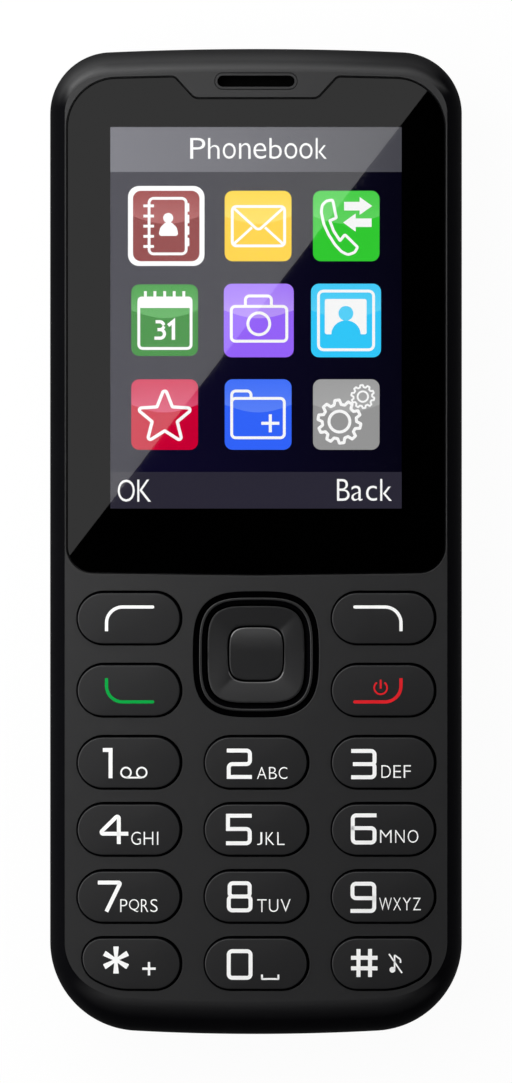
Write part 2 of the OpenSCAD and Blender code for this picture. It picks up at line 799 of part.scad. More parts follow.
// Navigation key: a ring that tilts left and right and a dished plate that tilts up and down in it
module nav_ring() {
    color("#1c1c1e")
        translate([0, nav_y, 0])
            difference() {
                union() {
                    slab(squircle(well + 2 * nav_flange, well_power), ring_z, ring_flange_top);
                    loft([
                        flat_ring(squircle(ring, ring_power), ring_z),
                        flat_ring(squircle(ring, ring_power), crest_z - crest_w / 4),
                        flat_ring(squircle(ring - crest_w / 2, ring_power), crest_z)
                    ]);
                }
                slab(squircle(ring - 2 * crest_w, ring_power), ring_z - 1, crest_z + 1);
            }
}

module nav_plate() {
    inner_w = ring - 2 * crest_w;
    color("#2b2b2e")
        translate([0, nav_y, 0])
            difference() {
                union() {
                    slab(squircle(inner_w + 2 * nav_flange, plate_power), plate_z, plate_flange_top);
                    loft([
                        flat_ring(squircle(plate, plate_power), plate_z),
                        flat_ring(squircle(plate, plate_power), plate_top - 0.3),
                        flat_ring(squircle(plate - 0.2, plate_power), plate_top - 0.1),
                        flat_ring(squircle(plate - 0.6, plate_power), plate_top)
                    ]);
                }
                slab(squircle(select + 2 * select_gap, plate_power), plate_z - 1, body_t + 1);
                slab(squircle(select + 2 * nav_flange + 4 * select_gap, plate_power),
                    plate_z - 1, plate_pocket_z);
                nav_dish();
            }
}

// Four-sided dish that falls from the rim of the plate to the select key
module nav_dish() {
    diagonal = sqrt(2);
    translate([0, 0, plate_top - dish_d])
        rotate(45)
            cylinder(h = 2 * dish_d, d1 = select * diagonal,
                d2 = (2 * plate - select - 1) * diagonal, $fn = 4);
}

module select_key() {
    color("#303033")
        translate([0, nav_y, 0])
            union() {
                slab(squircle(select + 2 * nav_flange, plate_power), select_flange_z, select_flange_top);
                loft([
                    flat_ring(squircle(select, plate_power), select_flange_z),
                    flat_ring(squircle(select, plate_power), select_top - 0.3),
                    flat_ring(squircle(select - 0.3, plate_power), select_top - 0.1),
                    flat_ring(squircle(select - 1.2, plate_power), select_top)
                ]);
                post(plunger_r - 0.2, plunger_z, select_flange_z);
            }
}

// Rubber mat: a web with a window for every plunger, standing on a leg all round
module mat_footprint(shrink) {
    intersection() {
        polygon(plain_in(mat_in + shrink));
        translate([-body_w, end_y])
            square([2 * body_w, mat_end - shrink - end_y]);
    }
}

module keypad_mat() {
    color("#3c3f42")
        difference() {
            translate([0, 0, film_top])
                linear_extrude(mat_top - film_top)
                    mat_footprint(0);
            translate([0, 0, film_top - 1])
                linear_extrude(mat_z - film_top + 1)
                    mat_footprint(mat_leg);
            for (key = KEYS)
                post(plunger_r + 0.4, mat_z - 1, mat_top + 1, key_place(key));
            translate([0, nav_y, 0])
                slab(squircle(well + 2 * nav_flange + 0.8, well_power), mat_z - 1, mat_top + 1);
            for (place = screw_places)
                post(boss_r + fit_gap, film_top - 1, mat_top + 1, place);
        }
}

module dome_sheet() {
    dome_sphere_r = (pow(dome_r, 2) + pow(dome_h, 2)) / (2 * dome_h);
    color("#c8c9cc")
        difference() {
            union() {
                translate([0, 0, board_top])
                    linear_extrude(film_t)
                        mat_footprint(0);
                for (place = dome_places)
                    intersection() {
                        translate([place[0], place[1], dome_top - dome_sphere_r])
                            sphere(r = dome_sphere_r);
                        post(dome_r, board_top + film_t / 2, dome_top + 1, place);
                    }
            }
            for (place = screw_places)
                post(boss_r + fit_gap, board_top - 1, dome_top + 1, place);
        }
}

// Board and what is soldered to its back
module main_board() {
    color("#1f5a3c")
        difference() {
            slab(plain_in(rear_wall + board_gap), board_bot, board_top);
            for (place = screw_places)
                post(screw_r + fit_gap, board_bot - 1, board_top + 1, place);
        }
}

module shield_can() {
    can_w = 11;
    can_l = 20;
    can_h = 2.4;
    can_wall = 0.25;
    can_from_side = 10.2;
    color("#b9bcc0")
        translate([can_from_side - body_w / 2, speaker_y + 1, 0])
            difference() {
                slab(rounded_box(can_w, can_l, 0.6), board_bot - can_h, board_bot);
                block(can_w - 2 * can_wall, can_l - 2 * can_wall,
                    board_bot - can_h + can_wall, board_bot + 1);
            }
}

module card_holder(w, l, place) {
    translate([place[0], place[1], 0])
        difference() {
            block(w, l, board_bot - holder_h, board_bot);
            block(w - 1.6, l, board_bot - holder_h * 0.75, board_bot - holder_h * 0.25, 0, -1.2);
            block(w - 5, l - 5, board_bot - holder_h - 1, board_bot - holder_h * 0.5);
        }
}

module sim_holders() {
    color("#c3c6c9")
        for (place = sim_places)
            card_holder(card_w, sim_l, place);
}

module memory_card_holder() {
    color("#b7babd")
        card_holder(memory_w, memory_w, memory_place);
}

contact_w = 9.2;
contact_l = 2.6;
contact_z = battery_z + 1.8;
contact_y = cell_y + cell_l / 2 + 0.4 + contact_l / 2;
contact_pitch = 2.6;
blade_w = 0.9;

module battery_contacts() {
    color("#d0b060")
        union() {
            block(contact_w, contact_l, contact_z, board_bot, 0, contact_y);
            for (step = [-1:1])
                block(blade_w, contact_l, contact_z + 0.6, contact_z + 2,
                    step * contact_pitch, contact_y - 0.3);
        }
}

module usb_outline(grow) {
    half = usb_w / 2 + grow;
    rise = usb_h / 2 + grow;
    slant = 0.7;
    polygon([
        [-half, rise], [half, rise], [half, -rise / 3],
        [half - slant, -rise], [slant - half, -rise], [-half, -rise / 3]
    ]);
}

module usb_prism(grow, from, to) {
    translate([0, to, usb_z])
        rotate([90, 0, 0])
            linear_extrude(to - from)
                usb_outline(grow);
}

module usb_socket() {
    color("#c9cbce")
        union() {
            difference() {
                usb_prism(usb_wall, usb_face, usb_face + usb_l);
                usb_prism(0, usb_face - 1, usb_face + usb_l - usb_wall);
            }
            block(usb_w - 3, usb_l - 1.2, usb_z + 0.05, usb_z + 0.55, 0, usb_face + usb_l / 2 + 0.6);
        }
}

module jack_bore(r, from, to) {
    translate([jack_x, to, jack_z])
        rotate([90, 0, 0])
            cylinder(r = r, h = to - from);
}

module headphone_jack() {
    color("#1b1b1c")
        difference() {
            union() {
                block(jack_w, jack_l + jack_blind, jack_z - jack_h / 2, board_bot,
                    jack_x, jack_face - (jack_l + jack_blind) / 2);
                jack_bore(jack_r + 0.6, jack_face - 1, jack_face + 0.8);
            }
            jack_bore(jack_r, jack_face + 0.8 - jack_l, jack_face + 1);
        }
}

mic_y = end_y + rear_wall + mic_r + 2.2;

module microphone() {
    color("#c0b28a")
        post(mic_r, board_bot - mic_h, board_bot, [mic_x, mic_y]);
}

module loudspeaker() {
    color("#6e7276")
        translate([0, speaker_y, 0])
            union() {
                slab(rounded_box(speaker_w, speaker_l, 2), pocket_z, pocket_z + speaker_t - 0.8);
                slab(rounded_box(speaker_w - 2, speaker_l - 2, 1.4), pocket_z, pocket_z + speaker_t);
            }
}

module camera_module() {
    base_z = pocket_z + 1.2;
    color("#1a1c20")
        translate([0, camera_y, 0])
            difference() {
                union() {
                    slab(rounded_box(camera_w, camera_w, 0.6), base_z, board_bot);
                    post(barrel_r, pocket_z, base_z);
                }
                translate([0, 0, pocket_z - eps])
                    cylinder(r1 = 1.6, r2 = 0.8, h = 0.8);
            }
}

module camera_window() {
    color("#30343c")
        post(window_r, wall_z, wall_z + window_t, [0, camera_y]);
}

// Motor: its barrel lies across the phone and the eccentric weight turns on its shaft
module along_x(r, from, to) {
    translate([from, motor_y, motor_z])
        rotate([0, 90, 0])
            cylinder(r = r, h = to - from);
}

module vibration_motor() {
    color("#c5c8cb")
        difference() {
            along_x(motor_r, motor_end - motor_l, motor_end);
            along_x(shaft_r + shaft_gap, motor_end - 2, motor_end + 1);
        }
}

module motor_weight() {
    color("#8d8f92")
        union() {
            intersection() {
                along_x(weight_r, weight_x, weight_x + weight_l);
                translate([weight_x, motor_y - weight_r, motor_z - weight_r])
                    cube([weight_l, 2 * weight_r, weight_r + 0.2]);
            }
            along_x(pad_r, weight_x, weight_x + weight_l);
            along_x(shaft_r, motor_end - 1.9, weight_x + weight_l);
        }
}

module motor_cradle() {
    difference() {
        block(motor_l - 1, 2 * motor_r + 1, pocket_z - eps, motor_z - 0.4,
            motor_end - motor_l / 2, motor_y);
        along_x(motor_r + fit_gap, motor_end - motor_l - 1, motor_end + 1);
    }
}

// Antenna: a slotted plate on the back wall with a spring post up to the board
module antenna() {
    antenna_w = 10 * fit_w;
    antenna_l = 12;
    antenna_t = 0.3;
    antenna_from_side = 9.5 * fit_w;
    slot_pitch = 3;
    slot_w = 0.8;
    post_w = 1.4;
    color("#caa14a")
        translate([body_w / 2 - antenna_from_side, motor_y - 3, 0])
            union() {
                difference() {
                    block(antenna_w, antenna_l, pocket_z, pocket_z + antenna_t);
                    for (step = [-1:1])
                        block(antenna_w, slot_w, pocket_z - 1, pocket_z + 1,
                            antenna_w / 4 - antenna_w / 2 * abs(step), step * slot_pitch);
                }
                block(post_w, post_w, pocket_z, board_bot, 1.4 - antenna_w / 2, antenna_l / 2 - 1);
            }
}

module battery() {
    color("#3b3e44")
        translate([0, cell_y, 0])
            difference() {
                slab(rounded_box(cell_w, cell_l, 1.5), battery_z, battery_z + battery_t);
                for (step = [-1:1])
                    block(2 * blade_w, 1, contact_z + 0.4, contact_z + 2.2,
                        step * contact_pitch, cell_l / 2 + 0.2);
            }
}

// Rear housing: lofted shell with the battery tub, hook rails, screw bosses and socket openings
module rear_housing() {
    color("#262628")
        difference() {
            union() {
                difference() {
                    rear_shell();
                    slab(plain_in(rear_wall), pocket_z, part_z + 1);
                }
                difference() {
                    slab(plain_in(lip_outer + fit_gap), part_z - eps, part_z + lip_h);
                    slab(plain_in(rear_wall), part_z - 1, part_z + lip_h + 1);
                }
                block(2 * tub_half, cell_l + 2 * (battery_gap + tub_wall), wall_z, tub_top,
                    0, cell_y);
                hook_rails();
                for (place = screw_places)
                    post(boss_r, wall_z + eps, board_bot, place);
                motor_cradle();
            }
            block(lid_w + 2 * slide_gap, 2 * body_l, -1, wall_z);
            battery_bay();
            for (side = [-1, 1], y = hook_places)
                hook_channel(side, y);
            for (place = screw_places) {
                post(screw_r + fit_gap, 0, board_bot + 1, place);
                post(screw_head_r + fit_gap, 0, wall_z + screw_head_h + fit_gap, place);
            }
            back_openings();
            socket_openings();
        }
}

module hook_rails() {
    rail_l = 2 * hook_step + hook_l + cover_travel + 3;
    for (side = [-1, 1])
        block(rail_half - tub_half + eps, rail_l, wall_z + eps, rail_top,
            side * (rail_half + tub_half - eps) / 2, hook_places[1] - cover_travel / 2);
}

module battery_bay() {
    translate([0, cell_y, 0])
        slab(rounded_box(cell_w + 2 * battery_gap, cell_l + 2 * battery_gap, 1.5), 0, tub_floor_z);
    for (place = sim_places)
        block(card_w - 2, sim_l - 2, tub_floor_z - 1, tub_top + 1, place[0], place[1]);
    block(memory_w - 2, memory_w - 2, tub_floor_z - 1, tub_top + 1, memory_place[0], memory_place[1]);
    block(contact_w + 2 * battery_gap, contact_l + 2 * battery_gap + 0.6,
        contact_z - battery_gap, tub_top + 1, 0, contact_y);
}

// Each hook runs under its lip and comes clear of it at the end of the cover's way
module hook_channel(side, y) {
    slot_l = hook_l + cover_travel + 2 * slide_gap;
    slot_y = y - cover_travel / 2;
    stem_w = hook_stem + 2 * slide_gap;
    arm_w = hook_stem + hook_reach + 2 * slide_gap;
    arm_x = hook_x + arm_w / 2 - slide_gap;
    block(stem_w, slot_l, 0, hook_z, side * (hook_x + hook_stem / 2), slot_y);
    block(arm_w, slot_l, hook_z - slide_gap, hook_z + hook_t + slide_gap, side * arm_x, slot_y);
    block(arm_w, hook_l + 2 * slide_gap, 0, hook_z, side * arm_x, y - cover_travel);
}

module back_openings() {
    post(barrel_r - 0.4, 0, pocket_z + eps, [0, camera_y]);
    post(window_r + fit_gap, 0, wall_z + window_t + fit_gap / 2, [0, camera_y]);
    translate([0, speaker_y, 0])
        slab(rounded_box(speaker_w - 4, speaker_l - 3.4, 1), 0, pocket_z + eps);
}

module socket_openings() {
    jack_bore(jack_r + 0.7, jack_face - 1, top_y + 1);
    usb_prism(usb_wall + fit_gap, end_y - 1, usb_face + usb_l);
    block(usb_case_w + 2 * fit_gap, usb_face + usb_l - end_y + 1, usb_z, part_z + lip_h + 1, 0,
        (usb_face + usb_l + end_y - 1) / 2);
    translate([mic_x, mic_y, board_bot - mic_h / 2])
        rotate([90, 0, 0])
            cylinder(r = mic_hole_r, h = body_w);
}

// Back cover: the lowest slice of the rear shell, with hooks, sound slots and a thumb grip
module back_cover() {
    slot_w = 0.8;
    slot_pitch = 1.5;
    color("#232325")
        difference() {
            union() {
                intersection() {
                    rear_shell();
                    block(lid_w, 2 * body_l, 0, cover_t);
                }
                for (side = [-1, 1], y = hook_places)
                    cover_hook(side, y);
            }
            translate([0, camera_y, -eps])
                cylinder(r1 = window_r + 0.9, r2 = window_r - 0.2, h = cover_t + 2 * eps);
            for (i = [0:sound_slots - 1])
                stadium_block(speaker_w - 6, slot_w, -1, cover_t + 1,
                    [0, speaker_y + (i - (sound_slots - 1) / 2) * slot_pitch]);
            thumb_grip();
        }
}

module cover_hook(side, y) {
    block(hook_stem, hook_l, cover_t - eps, hook_z + hook_t, side * (hook_x + hook_stem / 2), y);
    block(hook_stem + hook_reach, hook_l, hook_z, hook_z + hook_t,
        side * (hook_x + (hook_stem + hook_reach) / 2), y);
}

module thumb_grip() {
    grip_pitch = 1.8;
    for (i = [-3:3])
        stadium_block(15 - 1.2 * abs(i), 0.8, -1, 0.3, [0, end_y + 20 + i * grip_pitch]);
}

module housing_screws() {
    color("#9ea1a5")
        for (place = screw_places)
            difference() {
                union() {
                    post(screw_head_r, wall_z + fit_gap, wall_z + fit_gap + screw_head_h, place);
                    post(screw_r, wall_z + fit_gap, face_in_z - 0.6, place);
                }
                for (turn = [0, 90])
                    translate([place[0], place[1], wall_z])
                        rotate(turn)
                            block(1.5, 0.3, -1, 0.5);
            }
}

front_cover();
display_lens();
lens_tape();
display_gasket();
display_panel();
light_guide();
display_frame();
display_flex();
earpiece_mesh();
earpiece_receiver();
for (key = KEYS) keypad_key(key);
nav_ring();
nav_plate();
select_key();
keypad_mat();
dome_sheet();
main_board();
shield_can();
sim_holders();
memory_card_holder();
battery_contacts();
usb_socket();
headphone_jack();
microphone();
loudspeaker();
camera_module();
camera_window();
vibration_motor();
motor_weight();
antenna();
battery();
rear_housing();
back_cover();
housing_screws();
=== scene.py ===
import json
import bmesh
import bpy
import numpy as np
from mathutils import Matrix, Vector
from mathutils.geometry import delaunay_2d_cdt


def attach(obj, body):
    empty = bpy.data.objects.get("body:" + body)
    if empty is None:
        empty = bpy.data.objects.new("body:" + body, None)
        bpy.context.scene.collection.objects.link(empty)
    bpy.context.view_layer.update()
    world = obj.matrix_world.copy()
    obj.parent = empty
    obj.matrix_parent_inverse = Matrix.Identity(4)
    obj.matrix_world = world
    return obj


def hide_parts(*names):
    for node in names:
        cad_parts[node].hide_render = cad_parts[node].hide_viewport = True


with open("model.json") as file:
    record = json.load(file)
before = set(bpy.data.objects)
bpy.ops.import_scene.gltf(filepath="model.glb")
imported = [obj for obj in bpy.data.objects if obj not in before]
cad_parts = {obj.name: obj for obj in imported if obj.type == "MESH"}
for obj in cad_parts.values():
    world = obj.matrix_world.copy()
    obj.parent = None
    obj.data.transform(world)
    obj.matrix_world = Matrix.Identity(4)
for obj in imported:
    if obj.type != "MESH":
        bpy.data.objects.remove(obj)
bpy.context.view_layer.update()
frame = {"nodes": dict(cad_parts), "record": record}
mm = 0.001  # shapes below are worked out in millimetres
print("frame loaded,", len(frame["nodes"]), "nodes")


# sRGB hex to linear: each channel over 255, taken back through the sRGB curve
def linear(hexColour):
    channel = np.array([int(hexColour[i:i + 2], 16) for i in (1, 3, 5)]) / 255
    flat = np.where(channel <= 0.04045, channel / 12.92, ((channel + 0.055) / 1.055) ** 2.4)
    return [*flat.tolist(), 1.0]


# adds one node: settings are its own properties, and an input is either a value or a socket to link
def addNode(tree, kind, inputs=None, **settings):
    node = tree.nodes.new(kind)
    for key, value in settings.items():
        setattr(node, key, value)
    for key, value in (inputs or {}).items():
        if isinstance(value, bpy.types.NodeSocket):
            tree.links.new(value, node.inputs[key])
        else:
            node.inputs[key].default_value = value
    return node


def emptyMaterial(name):
    material = bpy.data.materials.new(name)
    material.use_nodes = True
    material.node_tree.nodes.clear()
    return material, material.node_tree


# one finish as a shader: the tint drifts between two hex values over "drift" mm, and a grain of "grain" mm
# stands "depth" mm high in the bump and swings the roughness
def finishShader(tree, finish):
    place = addNode(tree, "ShaderNodeTexCoord").outputs["Object"]
    drift = addNode(tree, "ShaderNodeTexNoise", {
        "Vector": place, "Scale": 1 / (finish["drift"] * mm), "Detail": 2.0}).outputs["Fac"]
    grain = addNode(tree, "ShaderNodeTexNoise", {
        "Vector": place, "Scale": 1 / (finish["grain"] * mm), "Detail": 3.0}).outputs["Fac"]
    tint = addNode(tree, "ShaderNodeMixRGB", {
        "Fac": drift, "Color1": linear(finish["dark"]), "Color2": linear(finish["light"])})
    rough = addNode(tree, "ShaderNodeMapRange", {
        "Value": grain, "From Min": 0.3, "From Max": 0.7,
        "To Min": finish["rough"] - finish["swing"], "To Max": finish["rough"] + finish["swing"]})
    bump = addNode(tree, "ShaderNodeBump", {"Height": grain, "Distance": finish["depth"] * mm})
    shader = addNode(tree, "ShaderNodeBsdfPrincipled", {
        "Base Color": tint.outputs["Color"], "Roughness": rough.outputs["Result"],
        "Normal": bump.outputs["Normal"], "Metallic": finish.get("metallic", 0.0),
        "Specular IOR Level": finish.get("specular", 0.5), "Transmission Weight": finish.get("clear", 0.0),
        "Coat Weight": finish.get("coat", 0.0), "Coat Roughness": finish.get("coatRough", 0.03)})
    return shader.outputs["BSDF"]


# a material of one finish, or of two where an attribute says how far the second takes over; the second is a
# darker, glossless copy of the first that paints shade
def solidFinish(name, finish, paintedShadeFinish=None):
    material, tree = emptyMaterial(name)
    surface = finishShader(tree, finish)
    if paintedShadeFinish:
        share = addNode(tree, "ShaderNodeAttribute", attribute_name="paintedShadeShare").outputs["Fac"]
        surface = addNode(tree, "ShaderNodeMixShader", {
            0: share, 1: surface, 2: finishShader(tree, paintedShadeFinish)}).outputs[0]
    addNode(tree, "ShaderNodeOutputMaterial", {"Surface": surface})
    return material


# moulded ABS with a fine spark-eroded texture: a soft, even satin with no hard reflection
satinAbs = {"dark": "#0D0D0E", "light": "#101012", "drift": 18, "grain": 0.16, "depth": 0.004, "rough": 0.43,
            "swing": 0.05, "specular": 0.65}
# the same ABS made deep black and almost without gloss: painted shade along the sides, at the bottom of the
# edge and down the walls of the openings, and a dulled highlight on the top edge
paintedShadeAbs = {"dark": "#08080A", "light": "#0B0B0D", "drift": 9, "grain": 0.2, "depth": 0.006, "rough": 0.6,
           "swing": 0.06, "specular": 0.004}
# front cover: the satin, going over to the darker copy as painted shade by the share that its mesh carries
coverAbs = solidFinish("mouldedAbs", satinAbs, paintedShadeAbs)
# the darker copy alone: painted shade on the sides and edges of the key caps and in the grooves and gaps of
# the navigation set
paintedShadeBlack = solidFinish("paintedShadeAbs", paintedShadeAbs)
blackAbs = solidFinish("rearAbs", {**paintedShadeAbs, "specular": 0.3, "rough": 0.5})
# hard-coated polycarbonate key caps: a little smoother than the housing, so that their edges catch light
keyPolycarbonate = solidFinish("keyPolycarbonate", {
    "dark": "#0F0F10", "light": "#121214", "drift": 14, "grain": 0.14, "depth": 0.003, "rough": 0.44,
    "swing": 0.05, "specular": 0.5})
# painted bead of the ring: dark gloss over black
ringPaint = solidFinish("ringPaint", {
    "dark": "#101011", "light": "#161617", "drift": 5, "grain": 0.12, "depth": 0.001, "rough": 0.42,
    "swing": 0.04})
# a glossier, slightly lighter copy of the key finish, laid only on the edges round the middle key that face
# the top light: painted highlight, thin bright lines there
paintedHighlightGloss = solidFinish("paintedHighlightEdge", {
    "dark": "#101012", "light": "#141416", "drift": 5, "grain": 0.12, "depth": 0.0005, "rough": 0.3,
    "swing": 0.03, "specular": 1.0, "coat": 1.0, "coatRough": 0.12})
# screened legend ink: opaque, slightly chalky, with the key's own fine texture under it
legendInk = {"drift": 2, "grain": 0.1, "depth": 0.001, "rough": 0.5, "swing": 0.05, "specular": 0.1}
whiteInk = solidFinish("whiteLegendInk", {
    **legendInk, "dark": "#F4F4F3", "light": "#FCFCFB", "specular": 0.2})
greenInk = solidFinish("greenLegendInk", {**legendInk, "dark": "#009A3C", "light": "#04A244"})
redInk = solidFinish("redLegendInk", {**legendInk, "dark": "#D01A22", "light": "#DA242C"})
# black screen print behind the lens: it only blocks light, the acrylic in front gives the gloss
blackPrint = solidFinish("blackLensPrint", {
    "dark": "#020203", "light": "#040405", "drift": 12, "grain": 0.1, "depth": 0.0005, "rough": 0.7,
    "swing": 0.05, "specular": 0.0})
# the same print seen through the polished acrylic: black with one clean reflection
blackGloss = solidFinish("printedAcrylic", {
    "dark": "#000000", "light": "#010101", "drift": 12, "grain": 0.5, "depth": 0.00002, "rough": 0.01,
    "swing": 0.005})
slotFinishes = {
    "moulded_housing": blackAbs,
    "key_caps": keyPolycarbonate,
    "nav_trim": ringPaint,
    # closed-cell foam: dull black with small cells
    "black_foam": solidFinish("closedCellFoam", {
        "dark": "#0B0B0B", "light": "#161616", "drift": 1, "grain": 0.25, "depth": 0.05, "rough": 0.9,
        "swing": 0.05}),
    # polished cell glass over a black matrix
    "display_glass": solidFinish("cellGlass", {
        "dark": "#040406", "light": "#07070A", "drift": 20, "grain": 0.3, "depth": 0.0001, "rough": 0.06,
        "swing": 0.01}),
    # edge-lit acrylic sheet with its matt print dots
    "light_guide_acrylic": solidFinish("dottedAcrylic", {
        "dark": "#DDE2E4", "light": "#F2F4F4", "drift": 4, "grain": 0.3, "depth": 0.01, "rough": 0.25,
        "swing": 0.1, "clear": 0.4}),
    # cold-rolled steel with its rolling grain, tin plated
    "pressed_steel": solidFinish("tinnedSteel", {
        "dark": "#9FA1A2", "light": "#B9BABA", "drift": 6, "grain": 0.12, "depth": 0.002, "rough": 0.32,
        "swing": 0.08, "metallic": 1.0}),
    # polyimide film: amber, slightly glossy
    "flex_film": solidFinish("polyimideFilm", {
        "dark": "#9A5A12", "light": "#B87420", "drift": 3, "grain": 0.2, "depth": 0.001, "rough": 0.3,
        "swing": 0.06}),
    # dyed black woven polyester gauze, drawn at 0.25 mm so that it shows; made darker still and nearly
    # glossless, as painted shade down the earpiece slot
    "acoustic_mesh": solidFinish("wovenGauze", {
        "dark": "#020202", "light": "#040404", "drift": 0.5, "grain": 0.25, "depth": 0.03, "rough": 0.8,
        "swing": 0.1, "specular": 0.02}),
    # moulded silicone: matt, dusty, a little translucent at its edges
    "silicone_rubber": solidFinish("mouldedSilicone", {
        "dark": "#8C8F90", "light": "#9DA0A0", "drift": 8, "grain": 0.3, "depth": 0.006, "rough": 0.62,
        "swing": 0.06}),
    # glass-epoxy board under green solder mask
    "circuit_laminate": solidFinish("solderMask", {
        "dark": "#0F4A2A", "light": "#1A6A3C", "drift": 1.6, "grain": 0.5, "depth": 0.012, "rough": 0.34,
        "swing": 0.08, "coat": 0.4}),
    # gold flash over brass springs
    "gilt_brass": solidFinish("goldFlash", {
        "dark": "#C79A3E", "light": "#DDB65A", "drift": 2, "grain": 0.1, "depth": 0.001, "rough": 0.25,
        "swing": 0.06, "metallic": 1.0}),
    # glass-filled nylon: black, faintly streaked
    "black_nylon": solidFinish("glassFilledNylon", {
        "dark": "#0E0E0F", "light": "#191919", "drift": 2, "grain": 0.15, "depth": 0.006, "rough": 0.5,
        "swing": 0.08}),
    # polished cover of the camera, dark inside
    "camera_glass": solidFinish("coatedCameraGlass", {
        "dark": "#05060A", "light": "#0A0A12", "drift": 4, "grain": 0.3, "depth": 0.0002, "rough": 0.05,
        "swing": 0.02, "coat": 1.0}),
    # sintered tungsten: dull, pitted grey metal
    "sintered_weight": solidFinish("sinteredTungsten", {
        "dark": "#6E6C68", "light": "#86837E", "drift": 1, "grain": 0.12, "depth": 0.01, "rough": 0.5,
        "swing": 0.1, "metallic": 1.0}),
    # plain heat-shrunk film round the cell
    "battery_case": solidFinish("cellWrap", {
        "dark": "#2A2C30", "light": "#33363B", "drift": 7, "grain": 0.4, "depth": 0.006, "rough": 0.4,
        "swing": 0.08}),
}

# cast acrylic: clear, polished, with the faintest waviness in its gloss
clearAcrylic, acrylicTree = emptyMaterial("castAcrylic")
acrylicPlace = addNode(acrylicTree, "ShaderNodeTexCoord").outputs["Object"]
acrylicWave = addNode(acrylicTree, "ShaderNodeTexNoise", {"Vector": acrylicPlace, "Scale": 1 / (6 * mm)})
acrylicRough = addNode(acrylicTree, "ShaderNodeMapRange", {
    "Value": acrylicWave.outputs["Fac"], "To Min": 0.0, "To Max": 0.01})
acrylicShader = addNode(acrylicTree, "ShaderNodeBsdfPrincipled", {
    "Base Color": linear("#FFFFFF"), "Roughness": acrylicRough.outputs["Result"], "IOR": 1.49,
    "Transmission Weight": 1.0})
addNode(acrylicTree, "ShaderNodeOutputMaterial", {"Surface": acrylicShader.outputs["BSDF"]})
slotFinishes["clear_lens"] = clearAcrylic

# lit liquid crystal picture: it gives its own light, black where the cells are shut, under polished glass
litPicture, pictureTree = emptyMaterial("litPicture")
pictureColour = addNode(pictureTree, "ShaderNodeAttribute", attribute_name="pictureColour").outputs["Color"]
pictureShader = addNode(pictureTree, "ShaderNodeBsdfPrincipled", {
    "Base Color": linear("#020203"), "Roughness": 0.04, "Emission Color": pictureColour,
    "Emission Strength": 1.0})
addNode(pictureTree, "ShaderNodeOutputMaterial", {"Surface": pictureShader.outputs["BSDF"]})
print("materials made:", len(bpy.data.materials))


# rings stacked in order: each point is joined to the same point of the next ring; an end ring may be capped
def loft(rings, lowCap=True, highCap=True):
    rings = np.asarray(rings, float)
    count, around = rings.shape[:2]
    index = np.arange(count * around).reshape(count, around)
    onward = np.roll(index, -1, axis=1)
    faces = np.stack([index[:-1], onward[:-1], onward[1:], index[1:]], -1).reshape(-1, 4).tolist()
    if lowCap:
        faces.append(index[0, ::-1].tolist())
    if highCap:
        faces.append(index[-1].tolist())
    return rings.reshape(-1, 3), faces


def tube(rings):
    return loft(rings, False, False)


# parts as one: each part's face numbers move up by the points before it
def joined(parts):
    starts = np.cumsum([0] + [len(points) for points, faces in parts])
    faces = [[i + start for i in face]
             for (points, partFaces), start in zip(parts, starts) for face in partFaces]
    return np.concatenate([points for points, partFaces in parts]), faces


# a ring at one height
def raised(loop, height):
    return np.column_stack([loop[:, :2], np.full(len(loop), height)])


# rolled edge as pairs of inset and drop: a circle of the radius that turns from upright to level
def rolledEdge(radius, count, turn=90):
    angle = np.radians(np.linspace(0, turn, count))
    return [(radius * (1 - np.cos(a)), radius * (1 - np.sin(a))) for a in angle]


# a place is inside a loop where a line to the right of it crosses the loop an odd number of times
def inside(places, loop):
    x, y = places[:, :1], places[:, 1:2]
    ax, ay = loop[:, 0], loop[:, 1]
    bx, by = np.roll(ax, -1), np.roll(ay, -1)
    rise = np.where(by == ay, 1.0, by - ay)
    return (((ay > y) != (by > y)) & (x < (bx - ax) * (y - ay) / rise + ax)).sum(1) % 2 == 1


# flat sheet with holes: constrained triangles whose middles lie in the outline and in none of the holes
def flatSheet(outline, holes, height, up=True):
    loops = [outline] + holes
    starts = np.cumsum([0] + [len(loop) for loop in loops])
    edges = [(start + i, start + (i + 1) % len(loop))
             for start, loop in zip(starts, loops) for i in range(len(loop))]
    flat = [Vector(p) for p in np.concatenate([loop[:, :2] for loop in loops]).tolist()]
    points, _, faces, *_ = delaunay_2d_cdt(flat, edges, [], 0, 1e-5)
    points, faces = np.array([p[:] for p in points]), np.array(faces)
    middle = points[faces].mean(1)
    kept = inside(middle, outline)
    for hole in holes:
        kept &= ~inside(middle, hole)
    faces = faces[kept]
    return raised(points, height), (faces if up else faces[:, ::-1]).tolist()


# straight sides with rounded corners: at a corner (x, y, r) the path turns on an arc of radius r that
# touches both sides r tan(half the turn) from the corner; an open path keeps its two ends
def roundedPath(corners, closed=True, steps=10):
    corners = np.asarray(corners, float)
    place, radius = corners[:, :2], corners[:, 2]
    along = np.roll(place, -1, 0) - place
    along /= np.linalg.norm(along, axis=1, keepdims=True)
    before = np.roll(along, 1, 0)
    turn = np.arctan2(before[:, 0] * along[:, 1] - before[:, 1] * along[:, 0], (before * along).sum(1))
    start = place - before * (radius * np.tan(np.abs(turn) / 2))[:, None]
    spoke = np.column_stack([before[:, 1], -before[:, 0]]) * (np.sign(turn) * radius)[:, None]
    angle = turn[:, None] * np.linspace(0, 1, steps + 1)
    x = spoke[:, :1] * np.cos(angle) - spoke[:, 1:] * np.sin(angle)
    y = spoke[:, :1] * np.sin(angle) + spoke[:, 1:] * np.cos(angle)
    arcs = (start - spoke)[:, None] + np.stack([x, y], -1)
    if closed:
        return arcs.reshape(-1, 2)
    return np.concatenate([place[:1], arcs[1:-1].reshape(-1, 2), place[-1:]])


